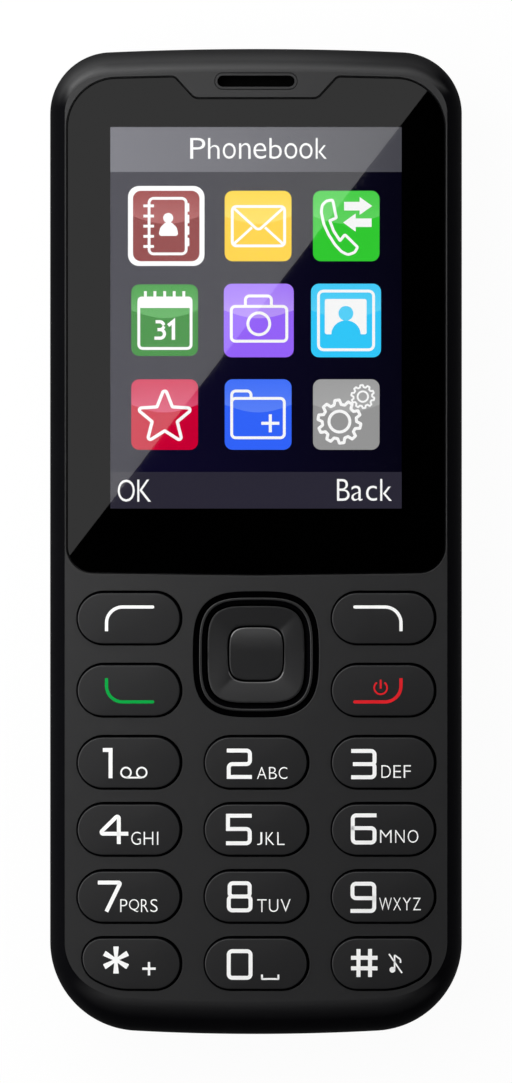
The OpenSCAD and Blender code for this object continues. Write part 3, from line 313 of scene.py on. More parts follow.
# superellipse: at each angle the radius is half the size over the power mean of the cosine and sine
def squircle(size, power, count=128):
    angle = np.linspace(0, 2 * np.pi, count, endpoint=False)
    c, s = np.cos(angle), np.sin(angle)
    radius = size / 2 / (np.abs(c) ** power + np.abs(s) ** power) ** (1 / power)
    return np.column_stack([radius * c, radius * s])


# unit vectors at the angles
def spokes(angle):
    return np.column_stack([np.cos(angle), np.sin(angle)])


ringSteps = 48  # points on a circle


def circle(x, y, radius, count=ringSteps):
    return squircle(radius * 2, 2, count) + [x, y]


# print on the keys, in millimetres: it stands proud of the cap and reaches below it, each further stroke lies
# "over" the one before, and a path is cut into strides of this length or less
inkForm = {"proud": 0.012, "sunk": 0.04, "over": 0.004, "stride": 0.3, "width": 0.47, "thinner": -0.012}


# ribbon of ink: the path moved half the width to each side along its mitred normal, with a top and a bottom
# edge on each side; height(x, y) is the surface that it lies on
def inkRibbon(path, width, height, closed=False, proud=inkForm["proud"], sunk=inkForm["sunk"]):
    path = np.asarray(path, float)
    width = np.broadcast_to(np.asarray(width, float), len(path))
    path = np.column_stack([path, width])
    if closed:
        path = np.concatenate([path, path[:1]])
    step = np.linalg.norm(np.diff(path[:, :2], axis=0), axis=1)
    length = np.concatenate([[0], np.cumsum(step)])
    kept = np.concatenate([[True], step > 1e-6])
    even = [np.linspace(a, b, int(np.ceil((b - a) / inkForm["stride"])), endpoint=False)
            for a, b in zip(length[kept][:-1], length[kept][1:])]
    even = np.concatenate(even + [length[-1:]])
    path = np.column_stack([np.interp(even, length[kept], path[kept, i]) for i in range(3)])
    path, width = (path[:-1, :2], path[:-1, 2]) if closed else (path[:, :2], path[:, 2])
    along = (np.roll(path, -1, 0) - path) if closed else np.diff(path, axis=0)
    along /= np.linalg.norm(along, axis=1, keepdims=True)
    after = along if closed else np.concatenate([along, along[-1:]])
    before = np.roll(along, 1, 0) if closed else np.concatenate([along[:1], along])
    normal = np.column_stack([-(before + after)[:, 1], (before + after)[:, 0]])
    normal /= np.maximum(1 + (before * after).sum(1), 0.3)[:, None]
    half = width[:, None] / 2
    left, right = path + normal * half, path - normal * half
    sides = [(left, proud), (left, -sunk), (right, -sunk), (right, proud)]
    rings = np.stack([np.column_stack([s, height(s[:, 0], s[:, 1]) + lift]) for s, lift in sides], 1)
    if closed:
        rings = np.concatenate([rings, rings[:1]])
    points, faces = loft(rings, not closed, not closed)
    return points, [face[::-1] for face in faces]


# filled ink patch: an outline as a thin plate on the surface
def inkPatch(loop, height, proud=inkForm["proud"], sunk=inkForm["sunk"]):
    z = height(loop[:, 0], loop[:, 1])
    return loft([np.column_stack([loop, z - sunk]), np.column_stack([loop, z + proud])])


# a mesh as points and faces
def meshPart(mesh):
    points = np.empty(len(mesh.vertices) * 3)
    mesh.vertices.foreach_get("co", points)
    return points.reshape(-1, 3), [list(polygon.vertices) for polygon in mesh.polygons]


# lettering from Blender's own font, stretched to fill the box x0, y0, x1, y1 and laid on the surface
def inkWord(word, box, height, proud=inkForm["proud"], sunk=inkForm["sunk"], offset=0.0):
    curve = bpy.data.curves.new("word", "FONT")
    curve.body, curve.extrude, curve.resolution_u, curve.offset = word, 0.01, 4, offset
    written = bpy.data.objects.new("word", curve)
    mesh = bpy.data.meshes.new_from_object(written)
    points, faces = meshPart(mesh)
    bpy.data.objects.remove(written)
    bpy.data.curves.remove(curve)
    bpy.data.meshes.remove(mesh)
    low, high = points[:, :2].min(0), points[:, :2].max(0)
    flat = (points[:, :2] - low) / (high - low) * [box[2] - box[0], box[3] - box[1]] + [box[0], box[1]]
    lift = np.where(points[:, 2] > 0, proud, -sunk)
    return np.column_stack([flat, height(flat[:, 0], flat[:, 1]) + lift]), faces


# edges between a face that lies flat and one that does not are marked sharp, so flat areas keep their normals
def keepFlat(mesh):
    if not mesh.polygons:
        return
    normals = np.empty(len(mesh.polygons) * 3, np.float32)
    mesh.polygons.foreach_get("normal", normals)
    totals, edges = np.empty(len(mesh.polygons), np.int32), np.empty(len(mesh.loops), np.int32)
    mesh.polygons.foreach_get("loop_total", totals)
    mesh.loops.foreach_get("edge_index", edges)
    flat = np.repeat(np.abs(normals[2::3]) > 0.99995, totals)
    some = np.bincount(edges, flat, len(mesh.edges))
    count = np.bincount(edges, minlength=len(mesh.edges))
    sharp = np.empty(len(mesh.edges), bool)
    mesh.edges.foreach_get("use_edge_sharp", sharp)
    mesh.edges.foreach_set("use_edge_sharp", sharp | ((some > 0) & (some < count)))


# points of a mesh closer than the distance in mm become one
def mergeSeams(mesh, distance):
    shell = bmesh.new()
    shell.from_mesh(mesh)
    bmesh.ops.remove_doubles(shell, verts=shell.verts, dist=distance * mm)
    shell.to_mesh(mesh)
    shell.free()


def linkedItem(name, data):
    item = bpy.data.objects.new(name, data)
    bpy.context.scene.collection.objects.link(item)
    return item


# points and faces into a mesh in metres: seams merged, shaded smooth up to the angle, flat areas kept flat
def addPiece(name, part, materials, body, node=None, angle=34, faceMaterial=None, colours=None,
             paintedShadeShare=None):
    points, faces = part
    mesh = bpy.data.meshes.new(name)
    mesh.from_pydata((np.asarray(points) * mm).tolist(), [], faces)
    for material in materials:
        mesh.materials.append(material)
    if faceMaterial is not None:
        mesh.polygons.foreach_set("material_index", np.asarray(faceMaterial, np.int32))
    if paintedShadeShare is not None:
        mesh.attributes.new("paintedShadeShare", "FLOAT", "CORNER").data.foreach_set("value", paintedShadeShare)
    if colours is not None:
        painted = mesh.attributes.new("pictureColour", "FLOAT_COLOR", "POINT")
        painted.data.foreach_set("color", np.ravel(colours))
    else:
        mergeSeams(mesh, 0.0005)
    mesh.shade_smooth()
    mesh.set_sharp_from_angle(angle=np.radians(angle))
    keepFlat(mesh)
    piece = linkedItem(name, mesh)
    weighted = piece.modifiers.new("flatAreasFirst", "WEIGHTED_NORMAL")
    weighted.keep_sharp = True
    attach(piece, body)
    if node:
        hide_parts(node)


# camera straight above, long lens: the frame's 1083 pixels span 129.96 mm at the level of the rim
cameraForm = {"lens": 600.0, "sensor": 36.0, "span": 129.96, "level": 8.6, "clip": 20, "middle": (256, 541.5)}
cameraAway = cameraForm["span"] * cameraForm["lens"] / cameraForm["sensor"]
pixel = 0.12  # millimetres at that level for one pixel of the 512 x 1083 frame
printLevel = 13.4  # of the print on the keys


# place on the object under a pixel: its distance from the middle, less what a nearer surface is magnified by
def atPixel(x, y, height=printLevel):
    share = pixel * (1 - (height - cameraForm["level"]) / cameraAway)
    return (x - cameraForm["middle"][0]) * share, (cameraForm["middle"][1] - y) * share


def pixelPath(corners, closed=False, steps=8, height=printLevel):
    return roundedPath([(*atPixel(x, y, height), r * pixel) for x, y, r in corners], closed, steps)


# rim of the body: four corner arcs that run into wide arcs across the top and the bottom;
# each point keeps the direction in which the rim faces
bodyForm = {"half": 24.7, "end": 59.1, "face": 13.0, "part": 8.6, "topCorner": 7.4, "bottomCorner": 10.7,
            "topArc": 390.0, "bottomArc": 265.0, "sideEdge": 1.8, "topEdge": 2.8, "bottomEdge": 4.0,
            "crease": 40.0, "topFade": 0.5, "bottomFade": 0.85, "faceIn": 11.5, "recess": 12.1,
            "cornerSteps": 36, "sideSteps": 39, "endSteps": 40}


def arc(x, y, radius, start, stop, steps):
    angle = np.radians(np.linspace(start, stop, steps, endpoint=False))
    return np.column_stack([x + radius * np.cos(angle), y + radius * np.sin(angle), angle])


topX, bottomX = bodyForm["half"] - bodyForm["topCorner"], bodyForm["half"] - bodyForm["bottomCorner"]
topArcY, bottomArcY = bodyForm["end"] - bodyForm["topArc"], bodyForm["bottomArc"] - bodyForm["end"]
topY = topArcY + np.sqrt((bodyForm["topArc"] - bodyForm["topCorner"]) ** 2 - topX ** 2)
bottomY = bottomArcY - np.sqrt((bodyForm["bottomArc"] - bodyForm["bottomCorner"]) ** 2 - bottomX ** 2)
topTurn = np.degrees(np.arctan2(topY - topArcY, topX))
bottomTurn = np.degrees(np.arctan2(bottomArcY - bottomY, bottomX))
cornerSteps, sideSteps, endSteps = bodyForm["cornerSteps"], bodyForm["sideSteps"], bodyForm["endSteps"]
sideY = np.linspace(bottomY, topY, sideSteps + 1)[1:]
rightY = sideY - (sideY[1] - sideY[0])
rim = np.concatenate([
    arc(bottomX, bottomY, bodyForm["bottomCorner"], -bottomTurn, 0, cornerSteps),
    np.column_stack([np.full(sideSteps, bodyForm["half"]), rightY, np.zeros(sideSteps)]),
    arc(topX, topY, bodyForm["topCorner"], 0, topTurn, cornerSteps),
    arc(0, topArcY, bodyForm["topArc"], topTurn, 180 - topTurn, endSteps),
    arc(-topX, topY, bodyForm["topCorner"], 180 - topTurn, 180, cornerSteps),
    np.column_stack([np.full(sideSteps, -bodyForm["half"]), sideY[::-1], np.full(sideSteps, np.pi)]),
    arc(-bottomX, bottomY, bodyForm["bottomCorner"], 180, 180 + bottomTurn, cornerSteps),
    arc(0, bottomArcY, bodyForm["bottomArc"], 180 + bottomTurn, 360 - bottomTurn, endSteps)])


def movedIn(points, distance):
    return points[:, :2] - spokes(points[:, 2]) * np.reshape(distance, (-1, 1))


# front edge at the share u of its roll: a circular sweep of the slope from the crease angle (u = 0, at the
# face) to upright (u = 1, at the rim); the crease is sharp along the sides and dies out round the corners
def edgeRing(u):
    sine = np.sin(rim[:, 2])
    fade = np.where(sine > 0, bodyForm["topFade"], bodyForm["bottomFade"])
    crease = np.radians(bodyForm["crease"]) * np.maximum(0, 1 - np.abs(sine) / fade)
    endEdge = np.where(sine > 0, bodyForm["topEdge"], bodyForm["bottomEdge"])
    wide = bodyForm["sideEdge"] + (endEdge - bodyForm["sideEdge"]) * sine ** 2
    turn = crease + u * (np.pi / 2 - crease)
    inward = wide * (1 - (np.sin(turn) - np.sin(crease)) / (1 - np.sin(crease)))
    drop = (bodyForm["face"] - bodyForm["part"]) * (np.cos(crease) - np.cos(turn)) / np.cos(crease)
    return np.column_stack([movedIn(rim, inward), bodyForm["face"] - drop])


# eased share of the way between two limits: three times its square less twice its cube
def smoothStep(limits, value):
    share = np.clip((value - limits[0]) / (limits[1] - limits[0]), 0, 1)
    return share * share * (3 - 2 * share)


# where the darker matt copy takes over on the edge as painted shade: shares of the roll, sines of the rim's
# direction for the blends between sides, top and bottom, the x in mm over which the right half of the top
# grows duller and darker, and the share from the roll of an opening down its wall, which is painted into
# shade
paintedShadeForm = {"rightBlend": (0.6, 1.0), "leftBlend": (0.1, 0.75), "bottomBlend": (0.45, 0.95),
            "sideSine": (0.35, 0.75), "sideRoll": (0.0, 0.35), "bottomRoll": (0.0, 0.4), "topFrom": 0.34,
            "topRun": 0.17, "band": 0.2, "bandAt": 0.185, "bandWide": 0.07, "right": 0.6, "rightX": (2, 22),
            "rightRoll": (0.0, 0.4), "wall": [0.2, 0.7, 1.0, 1.0]}


# share of the darker matt copy on the edge, which paints shade: whole along the sides, coming in over the
# first part of the roll at the bottom; at the top it nears one with an exponential towards the rim, with a
# narrow band that dulls the softbox's flash as a painted-out highlight, and it grows stronger to the right;
# top, bottom and sides blend by the sine of the rim's direction
def paintedEdgeShade(u):
    sine = np.sin(rim[:, 2])
    topBlend = np.where(np.cos(rim[:, 2]) > 0, smoothStep(paintedShadeForm["rightBlend"], sine),
                        smoothStep(paintedShadeForm["leftBlend"], sine))
    blend = np.where(sine > 0, topBlend, smoothStep(paintedShadeForm["bottomBlend"], -sine))
    side = np.maximum(1 - smoothStep(paintedShadeForm["sideSine"], sine), smoothStep(paintedShadeForm["sideRoll"], u))
    band = paintedShadeForm["band"] * np.exp(-((u - paintedShadeForm["bandAt"]) / paintedShadeForm["bandWide"]) ** 2)
    top = max(0.0, 1 - np.exp((paintedShadeForm["topFrom"] - u) / paintedShadeForm["topRun"])) + band
    right = paintedShadeForm["right"] * smoothStep(paintedShadeForm["rightX"], rim[:, 0])
    right = right * smoothStep(paintedShadeForm["rightRoll"], u)
    top = 1 - (1 - top) * (1 - right)
    return (1 - blend) * side + blend * np.where(sine > 0, top, smoothStep(paintedShadeForm["bottomRoll"], u))


# a hole's wall: a small roll of the given radius at the top edge, then straight down
def holeWall(outlineAt, top, low, roll):
    rings = [raised(outlineAt(away), top - drop) for drop, away in rolledEdge(roll, 4)]
    return tube(rings + [raised(outlineAt(0), low)])


def boxOutline(wide, high, x, y, radius, steps=8):
    a, b = wide / 2, high / 2
    corners = [(x - a, y - b), (x + a, y - b), (x + a, y + b), (x - a, y + b)]
    return roundedPath([(*corner, radius) for corner in corners], steps=steps)


shy = 0.01  # mm short of a half circle at a round end, so that its two corners stay apart


def keyOutline(x, y, wide, high, grow):
    return boxOutline(wide + 2 * grow, high + 2 * grow, x, y, high / 2 + grow - shy, 16)


keyForm = {"wide": 12.34, "high": 6.2, "pitch": 15.22, "gap": 0.17, "top": 13.3, "crown": 0.09, "edge": 0.22,
           "edgeTurn": 86, "shadeBands": 10, "capShift": [-0.03, 0.0], "holeShift": [0.08, 0.03],
           "flangeLow": 10.85, "flangeHigh": 11.45, "flange": 0.5, "plunger": 1.5, "plungerLow": 9.75,
           "squeezes": (1.0, 0.97, 0.9, 0.75, 0.6, 0.4, 0.2, 0.05),
           "rows": [-9.21, -17.85, -26.49, -34.52, -42.55, -50.58]}
# the two lowest outer keys follow the body's corner: their outer end is trimmed and slants up to a nose
cornerForm = {"trim": 0.58, "run": 3.75, "slope": 27, "sweep": 8.0, "belly": 3.0, "nose": 2.4}


# sides of a polygon moved out: each corner goes along its mitred normal, and its radius grows with it
def grownCorners(corners, grow):
    corners = np.asarray(corners, float)
    along = np.roll(corners[:, :2], -1, 0) - corners[:, :2]
    along /= np.linalg.norm(along, axis=1, keepdims=True)
    normal = np.column_stack([along[:, 1], -along[:, 0]])
    before = np.roll(normal, 1, 0)
    out = (normal + before) / (1 + (normal * before).sum(1))[:, None] * grow
    return np.column_stack([corners[:, :2] + out, corners[:, 2] + grow])


def cornerOutline(x, y, side, grow):
    a, b = keyForm["wide"] / 2, keyForm["high"] / 2
    end, rise = a - cornerForm["trim"], cornerForm["run"] * np.tan(np.radians(cornerForm["slope"]))
    corners = [(-a, -b, b - shy), (end - cornerForm["run"], -b, cornerForm["sweep"]),
               (end, rise - b, cornerForm["belly"]), (end, b, cornerForm["nose"]), (-a, b, b - shy)]
    loop = roundedPath(grownCorners(corners, grow), steps=16) * [side, 1]
    return (loop[::-1] if side < 0 else loop) + [x, y]


keyNames = [("softkey_left", "", "softkey_right"), ("call_key", "", "end_key"), ("key_1", "key_2", "key_3"),
            ("key_4", "key_5", "key_6"), ("key_7", "key_8", "key_9"), ("key_star", "key_0", "key_hash")]
keyMiddles = {name: np.array([side * keyForm["pitch"], y]) for names, y in zip(keyNames, keyForm["rows"])
              for side, name in zip((-1, 0, 1), names) if name}
keyOutlines = {}
for name, (x, y) in keyMiddles.items():
    if name in ("key_star", "key_hash"):
        keyOutlines[name] = lambda grow, x=x, y=y: cornerOutline(x, y, np.sign(x), grow)
    else:
        keyOutlines[name] = lambda grow, x=x, y=y: keyOutline(x, y, keyForm["wide"], keyForm["high"], grow)


# as grownCorners, for an outline with hollow corners: there the radius shrinks as the sides move out
def grownNotched(corners, grow):
    grown = grownCorners(corners, grow)
    corners = np.asarray(corners, float)
    along = np.roll(corners[:, :2], -1, 0) - corners[:, :2]
    before = np.roll(along, 1, 0)
    hollow = before[:, 0] * along[:, 1] - before[:, 1] * along[:, 0] < 0
    grown[:, 2] = np.where(hollow, corners[:, 2] - grow, grown[:, 2])
    return grown


# lens outline: ends that fall away to rounded corners, the lower one bowed, and a notch at the earpiece
lensForm = {"half": 22.56, "top": 55.6, "bottom": -3.91, "low": 12.2, "high": 13.0, "gap": 0.18, "grow": 0.04,
            "roll": 0.03, "land": 0.05, "fall": 0.3, "bottomCorner": 3.1, "bottomBow": 90, "topCorner": 5.9,
            "notchTop": (9.8, 0.8), "notchFloor": (7.4, 53.0, 1.2)}


def lensOutline(grow):
    half, top, bottom, fall = (lensForm[key] for key in ("half", "top", "bottom", "fall"))
    (topX, topR), (floorX, floorY, floorR) = lensForm["notchTop"], lensForm["notchFloor"]
    corners = [(-half, bottom + fall, lensForm["bottomCorner"]), (0, bottom, lensForm["bottomBow"]),
               (half, bottom + fall, lensForm["bottomCorner"]), (half, top - fall, lensForm["topCorner"]),
               (topX, top, topR), (floorX, floorY, floorR), (-floorX, floorY, floorR), (-topX, top, topR),
               (-half, top - fall, lensForm["topCorner"])]
    return roundedPath(grownNotched(corners, grow), steps=14)


# front cover: rolled edge, flat face with its openings, lens recess, hollow inside and four screw posts
coverForm = {"roll": 0.06, "window": (35.8, 46.6, 0, 26.8, 0.8), "slot": (9.2, 1.3), "slotY": 55.13,
             "slotGroove": [(0.4, 0), (0.34, 0.07), (0.27, 0), (0.04, 0), (0, 0.06)],
             "seat": (10.4, 2.5), "seatTop": 11.95, "hollow": 2.4, "lip": 1.2, "lipTop": 9.4,
             "well": (15.1, 3.2), "navY": -13.53,
             "posts": [(-17.6, 53.6), (17.6, 53.6), (-7.61, -46.57), (7.61, -46.57)],
             "postRings": [(0.75, 11.2), (0.75, 9.0), (1.6, 9.0), (1.6, 11.6)]}


def wellOutline(grow):
    size, power = coverForm["well"]
    return squircle(size + grow * 2, power) + [0, coverForm["navY"]]


def slotOutline(grow):
    return keyOutline(0, coverForm["slotY"], *coverForm["slot"], grow)


def lensHole(grow):
    return lensOutline(grow + lensForm["gap"])


face, faceIn, recess = bodyForm["face"], bodyForm["faceIn"], bodyForm["recess"]
roll, groove, seatTop, lipTop = (coverForm[key] for key in ("roll", "slotGroove", "seatTop", "lipTop"))
openings = [lambda grow, outline=outline: outline(grow + keyForm["gap"]) + keyForm["holeShift"]
            for outline in keyOutlines.values()] + [wellOutline]
edgeSteps = np.concatenate([[1.0], np.linspace(0.94, 0, 18)])
edgeRings = [edgeRing(u) for u in edgeSteps]
edgeShadeShares = np.array([paintedEdgeShade(u) for u in edgeSteps])
seatLoop = keyOutline(0, coverForm["slotY"], *coverForm["seat"], 0)
windowLoop = boxOutline(*coverForm["window"])
lipLoop = movedIn(rim, coverForm["lip"])
hollowLoop = movedIn(rim, coverForm["hollow"])
slotRings = [raised(slotOutline(grow), face - drop) for grow, drop in groove]
slotRings.append(raised(slotOutline(0), seatTop))
walls = [holeWall(outlineAt, face, faceIn, roll) for outlineAt in openings]
walls.append(holeWall(lensHole, face, recess, roll))
faceHoles = [outlineAt(roll) for outlineAt in openings] + [lensHole(roll), slotOutline(groove[0][0])]
coverParts = [tube(edgeRings)] + walls + [
    flatSheet(edgeRings[-1], faceHoles, face),
    flatSheet(lensHole(0), [windowLoop], recess),
    tube(slotRings),
    flatSheet(seatLoop, [slotOutline(0)], seatTop, False),
    tube([raised(seatLoop, seatTop), raised(seatLoop, faceIn)]),
    tube([raised(windowLoop, recess), raised(windowLoop, faceIn)]),
    flatSheet(hollowLoop, [outlineAt(0) for outlineAt in openings] + [windowLoop, seatLoop], faceIn, False),
    tube([raised(hollowLoop, faceIn), raised(hollowLoop, lipTop), raised(lipLoop, lipTop),
          raised(lipLoop, bodyForm["part"]), raised(rim, bodyForm["part"])])]
for x, y in coverForm["posts"]:
    coverParts.append(loft([raised(circle(x, y, radius), z) for radius, z in coverForm["postRings"]]))
coverPart = joined(coverParts)
# shares of the painted shade: the rolled edge by its curve, the walls of the openings by the listed shares,
# none on the rest
coverShadeShare = [np.take(edgeShadeShares.ravel(), np.array(coverParts[0][1]).ravel())]
coverShadeShare += [np.repeat(paintedShadeForm["wall"], len(faces)) for points, faces in walls]
coverShadeShare += [np.zeros(sum(len(loop) for loop in faces)) for points, faces in coverParts[1 + len(walls):]]
addPiece("frontCover", coverPart, [coverAbs], "handset", "front_cover", 30,
         paintedShadeShare=np.concatenate(coverShadeShare))
print("front cover made,", len(coverPart[1]), "faces")

# lens: the outline raised to a small roll at its top edge; behind it the border is printed black round a
# clear window, the size of the lit picture
screenForm = {"wide": 34.9, "high": 45.7, "y": 26.8, "z": 11.21, "layer": 0.004, "thick": 0.003,
              "thinner": -0.008, "sharp": 0.005}
lensLow, lensHigh, lensRoll, lensGrow = (lensForm[key] for key in ("low", "high", "roll", "grow"))
lensRings = [raised(lensOutline(lensGrow), lensLow)]
lensRings += [raised(lensOutline(lensGrow - inset), lensHigh - drop)
              for inset, drop in rolledEdge(lensRoll, 6)]
lensRings += [raised(lensOutline(lensGrow - lensRoll - lensForm["land"]), lensHigh)]
clearLoop = boxOutline(screenForm["wide"], screenForm["high"], 0, screenForm["y"], 0.1)
lensParts = [tube(lensRings), flatSheet(lensRings[-1], [clearLoop], lensHigh),
             flatSheet(clearLoop, [], lensHigh), flatSheet(clearLoop, [], lensLow, False),
             flatSheet(lensRings[0], [clearLoop], lensLow, False)]
# the upright edge is sprayed black; that the rolled top edge and its land show no gloss either is painted
# shade, which keeps the gap round the lens dark and without a glint
lensMaterial = np.repeat([1, 2, 0, 0, 1], [len(faces) for points, faces in lensParts])
addPiece("displayLens", joined(lensParts), [clearAcrylic, blackPrint, blackGloss], "handset",
         "display_lens", 40, lensMaterial)

# picture on the panel: flat shapes in layers a few microns apart, each with its own colour
tileForm = {"corner": 8, "line": 0.36, "sag": 0.11, "steps": 25}
tileLayer, wordLayer, iconLayer = 3, 3, 6
whiteLight = "#FFFFFF"
pictureParts, pictureColours = [], []


def onScreen(x, y):
    return atPixel(x, y, screenForm["z"])


def screenPath(corners, closed=False):
    return pixelPath(corners, closed, 8, screenForm["z"])


def paint(part, hexColour):
    pictureParts.append(part)
    pictureColours.append(np.tile(linear(hexColour), (len(part[0]), 1)))


def layer(number):
    return lambda x, y: np.full(np.shape(x), screenForm["z"] + screenForm["layer"] * number)


def pixelBox(x0, y0, x1, y1, radius=0.0):
    (ax, ay), (bx, by) = onScreen(x0, y1), onScreen(x1, y0)
    radius = max(radius * pixel, screenForm["sharp"])
    return boxOutline(bx - ax, by - ay, (ax + bx) / 2, (ay + by) / 2, radius)


def fill(loop, number=iconLayer, hexColour=whiteLight):
    points = np.column_stack([loop, layer(number)(loop[:, 0], loop[:, 1])])
    paint((points, [list(range(len(loop)))]), hexColour)


def fillPath(corners):
    fill(screenPath(corners, True))


def disc(x, y, radius, number=iconLayer, hexColour=whiteLight):
    fill(circle(*onScreen(x, y), radius * pixel), number, hexColour)


def strokePath(path, width, number=iconLayer, closed=False):
    ribbon = inkRibbon(path, width * pixel, layer(number), closed, 0.0, screenForm["thick"])
    paint(ribbon, whiteLight)


def stroke(corners, width, number=iconLayer, closed=False):
    strokePath(screenPath(corners, closed), width, number, closed)


def strokeLine(x0, y0, x1, y1, width, number=iconLayer):
    stroke([(x0, y0, 0), (x1, y1, 0)], width, number)


def strokeBox(x0, y0, x1, y1, radius, width=2.8):
    corners = [(x0, y0), (x1, y0), (x1, y1), (x0, y1)]
    stroke([(*corner, radius) for corner in corners], width, closed=True)


def strokeRing(x, y, radius, width):
    strokePath(circle(*onScreen(x, y), radius * pixel), width, closed=True)


# a word letter by letter: each has its left and right edge, the word its baseline, low and full height
def write(word, edges, low, small, tall):
    for letter, x0, x1 in zip(word, edges[::2], edges[1::2]):
        box = (*onScreen(x0, low), *onScreen(x1, small if letter in "aceon" else tall))
        drawn = inkWord(letter, box, layer(wordLayer), 0.0, screenForm["thick"], screenForm["thinner"])
        paint(drawn, whiteLight)


# a colour moved by a share of the way to white
def paler(hexColour, share):
    channels = [int(hexColour[i:i + 2], 16) for i in (1, 3, 5)]
    return "#" + "".join(f"{round(channel + (255 - channel) * share):02X}" for channel in channels)


# a tile: rounded square, with a gloss above a line that sags in the middle as a half wave of the sine; the
# gloss is paler by its share along that line and by half of it at the top
def tile(x0, y0, x1, y1, hexColour, share):
    square = pixelBox(x0, y0, x1, y1, tileForm["corner"])
    fill(square, tileLayer, hexColour)
    across = np.linspace(0, 1, tileForm["steps"])
    down = tileForm["line"] + tileForm["sag"] * np.sin(np.pi * across)
    sag = np.array(onScreen(x0 + (x1 - x0) * across, y0 + (y1 - y0) * down)).T
    upperCorners = square[len(square) // 2:]
    fill(np.concatenate([sag, upperCorners]), tileLayer + 1, paler(hexColour, share / 2))
    pictureColours[-1][:len(sag)] = linear(paler(hexColour, share))


fill(boxOutline(screenForm["wide"], screenForm["high"], 0, screenForm["y"], 0.01), 0, "#060513")
# painted reflection: the left side of the picture is made lighter and bluer, the glare of the card mirrored
# in the lens painted into it
pictureColours[-1][pictureParts[-1][0][:, 0] < 0] = linear("#0E0B28")  # bluer on the left
fill(pixelBox(110, 127, 402, 172), 1, "#6E6E77")
# painted reflection: the right half of the bar is darker, the glare over its left painted into it
pictureColours[-1][pictureParts[-1][0][:, 0] > 0] = linear("#48484F")  # the bar fades to the right
fill(pixelBox(110, 472, 402, 510), 1, "#2C2A37")
write("Phonebook", [190.2, 205.3, 208, 219.6, 222.7, 235.8, 239, 250.6, 253.4, 266.3, 269.4, 281.8, 284.4,
                    297.3, 299.4, 312.6, 315.7, 326.8], 158.8, 143, 138)
write("OK", [117.7, 134.8, 137.3, 151], 501.7, 485.7, 479.6)
write("Back", [337, 349.6, 351.3, 362.6, 366, 377, 380.2, 391.8], 500.8, 485.7, 479)
fill(pixelBox(128, 186, 204.5, 266, 11), 2)
tile(133, 190.8, 199.5, 261.3, "#860000", 0.32)
tile(224.7, 190.8, 291.5, 261.3, "#FFD000", 0.32)
tile(313, 190.8, 379.5, 261.3, "#33CC33", 0.23)
tile(131.3, 284.5, 198, 356, "#008600", 0.32)
tile(223.8, 283.7, 293.7, 357.3, "#9966FF", 0.32)
tile(311, 283.7, 381, 357.3, "#33CCFF", 0.19)
tile(131.3, 379.3, 198, 449.8, "#CC0033", 0.32)
tile(224.7, 379.3, 291.5, 449.8, "#3366FF", 0.19)
tile(313, 379.3, 379.5, 449.8, "#999999", 0.19)

# address book: bound pages with five rings and index tabs, and a figure
strokeBox(149.1, 198.4, 186.2, 253.9, 4.5)
for y in (205.9, 216.1, 226.2, 236.4, 246.5):
    strokeLine(143.4, y, 154, y, 2.8)
for y in (207.5, 219, 230.5, 242):
    strokeLine(188, y - 4.2, 188, y + 4.2, 2.6)
disc(168.2, 218, 5)
fillPath([(158.4, 236, 2.6), (160.2, 227.5, 6), (165.5, 222.3, 4), (171.5, 222.3, 4), (176.8, 227.5, 6),
          (178.6, 236, 2.6)])
# envelope
strokeBox(232.3, 206.5, 284.6, 245.9, 4)
stroke([(233.5, 208, 0), (258.4, 230.5, 4), (283.4, 208, 0)], 2.6)
strokeLine(233.3, 244.5, 252, 227.5, 2.6)
strokeLine(283.6, 244.5, 265, 227.5, 2.6)
# handset with an arrow out and an arrow in
stroke([(326.4, 201, 5), (332.7, 199.9, 1.8), (336.3, 218, 1.2), (329.8, 220.6, 0.3), (333.6, 231, 20),
        (340, 240.7, 0.3), (344.9, 234.6, 1.2), (357.6, 247.2, 1.5), (354.8, 252.2, 4), (348.2, 255, 6),
        (341.4, 251.6, 10), (334.9, 244.6, 20), (328.5, 234.4, 25), (323.8, 224.2, 25), (321.2, 212, 16),
        (322.2, 205.2, 5)], 2.8, closed=True)
for arrow in ([(344.1, 201.9), (359.6, 201.9), (359.6, 197), (372.2, 206), (359.6, 214.9), (359.6, 210.5),
               (344.1, 210.5)],
              [(371.6, 218.5), (355.7, 218.5), (355.7, 213.5), (343.1, 222.6), (355.7, 231.8), (355.7, 227),
               (371.6, 227)]):
    fillPath([(*corner, 0.2) for corner in arrow])
# calendar sheet
strokeBox(138.8, 298, 191.1, 348.5, 4)
fill(pixelBox(137.6, 296.6, 192.4, 308, 4))
for x in (145.4, 154.9, 164.7, 174.2, 183.8):
    strokeLine(x, 291.2, x, 297.5, 2.8)
stroke([(155.6, 321.8, 0), (163.8, 321.8, 4), (163.8, 329.6, 3.8), (157.5, 329.6, 0)], 3.2)
stroke([(157.5, 329.6, 0), (164.4, 329.6, 4.2), (164.4, 338.2, 4.2), (154.4, 338.2, 0)], 3.2, iconLayer + 1)
stroke([(168.2, 325.6, 0), (173.4, 321.4, 0), (173.4, 339.8, 0)], 3.4)
# camera
strokeBox(231.3, 306.4, 286.8, 341.2, 4, 2.9)
stroke([(245.4, 306.4, 0), (245.4, 296, 4), (271.4, 296, 4), (271.4, 306.4, 0)], 2.9, iconLayer + 1)
strokeRing(258.8, 323.8, 10.9, 2.9)
# framed figure: a head over shoulders that are half an ellipse
strokeBox(318.5, 291.1, 373.6, 349.8, 5)
fill(pixelBox(324.8, 299, 366.6, 334.3, 2))
disc(345.9, 313.4, 7.4, iconLayer + 2, paler("#33CCFF", 0.19))
shoulderTurn = np.radians(np.linspace(0, 180, 25))
shoulders = onScreen(346 + 14.7 * np.cos(shoulderTurn), 334.6 - 14.2 * np.sin(shoulderTurn))
fill(np.array(shoulders).T, iconLayer + 1, "#33CCFF")
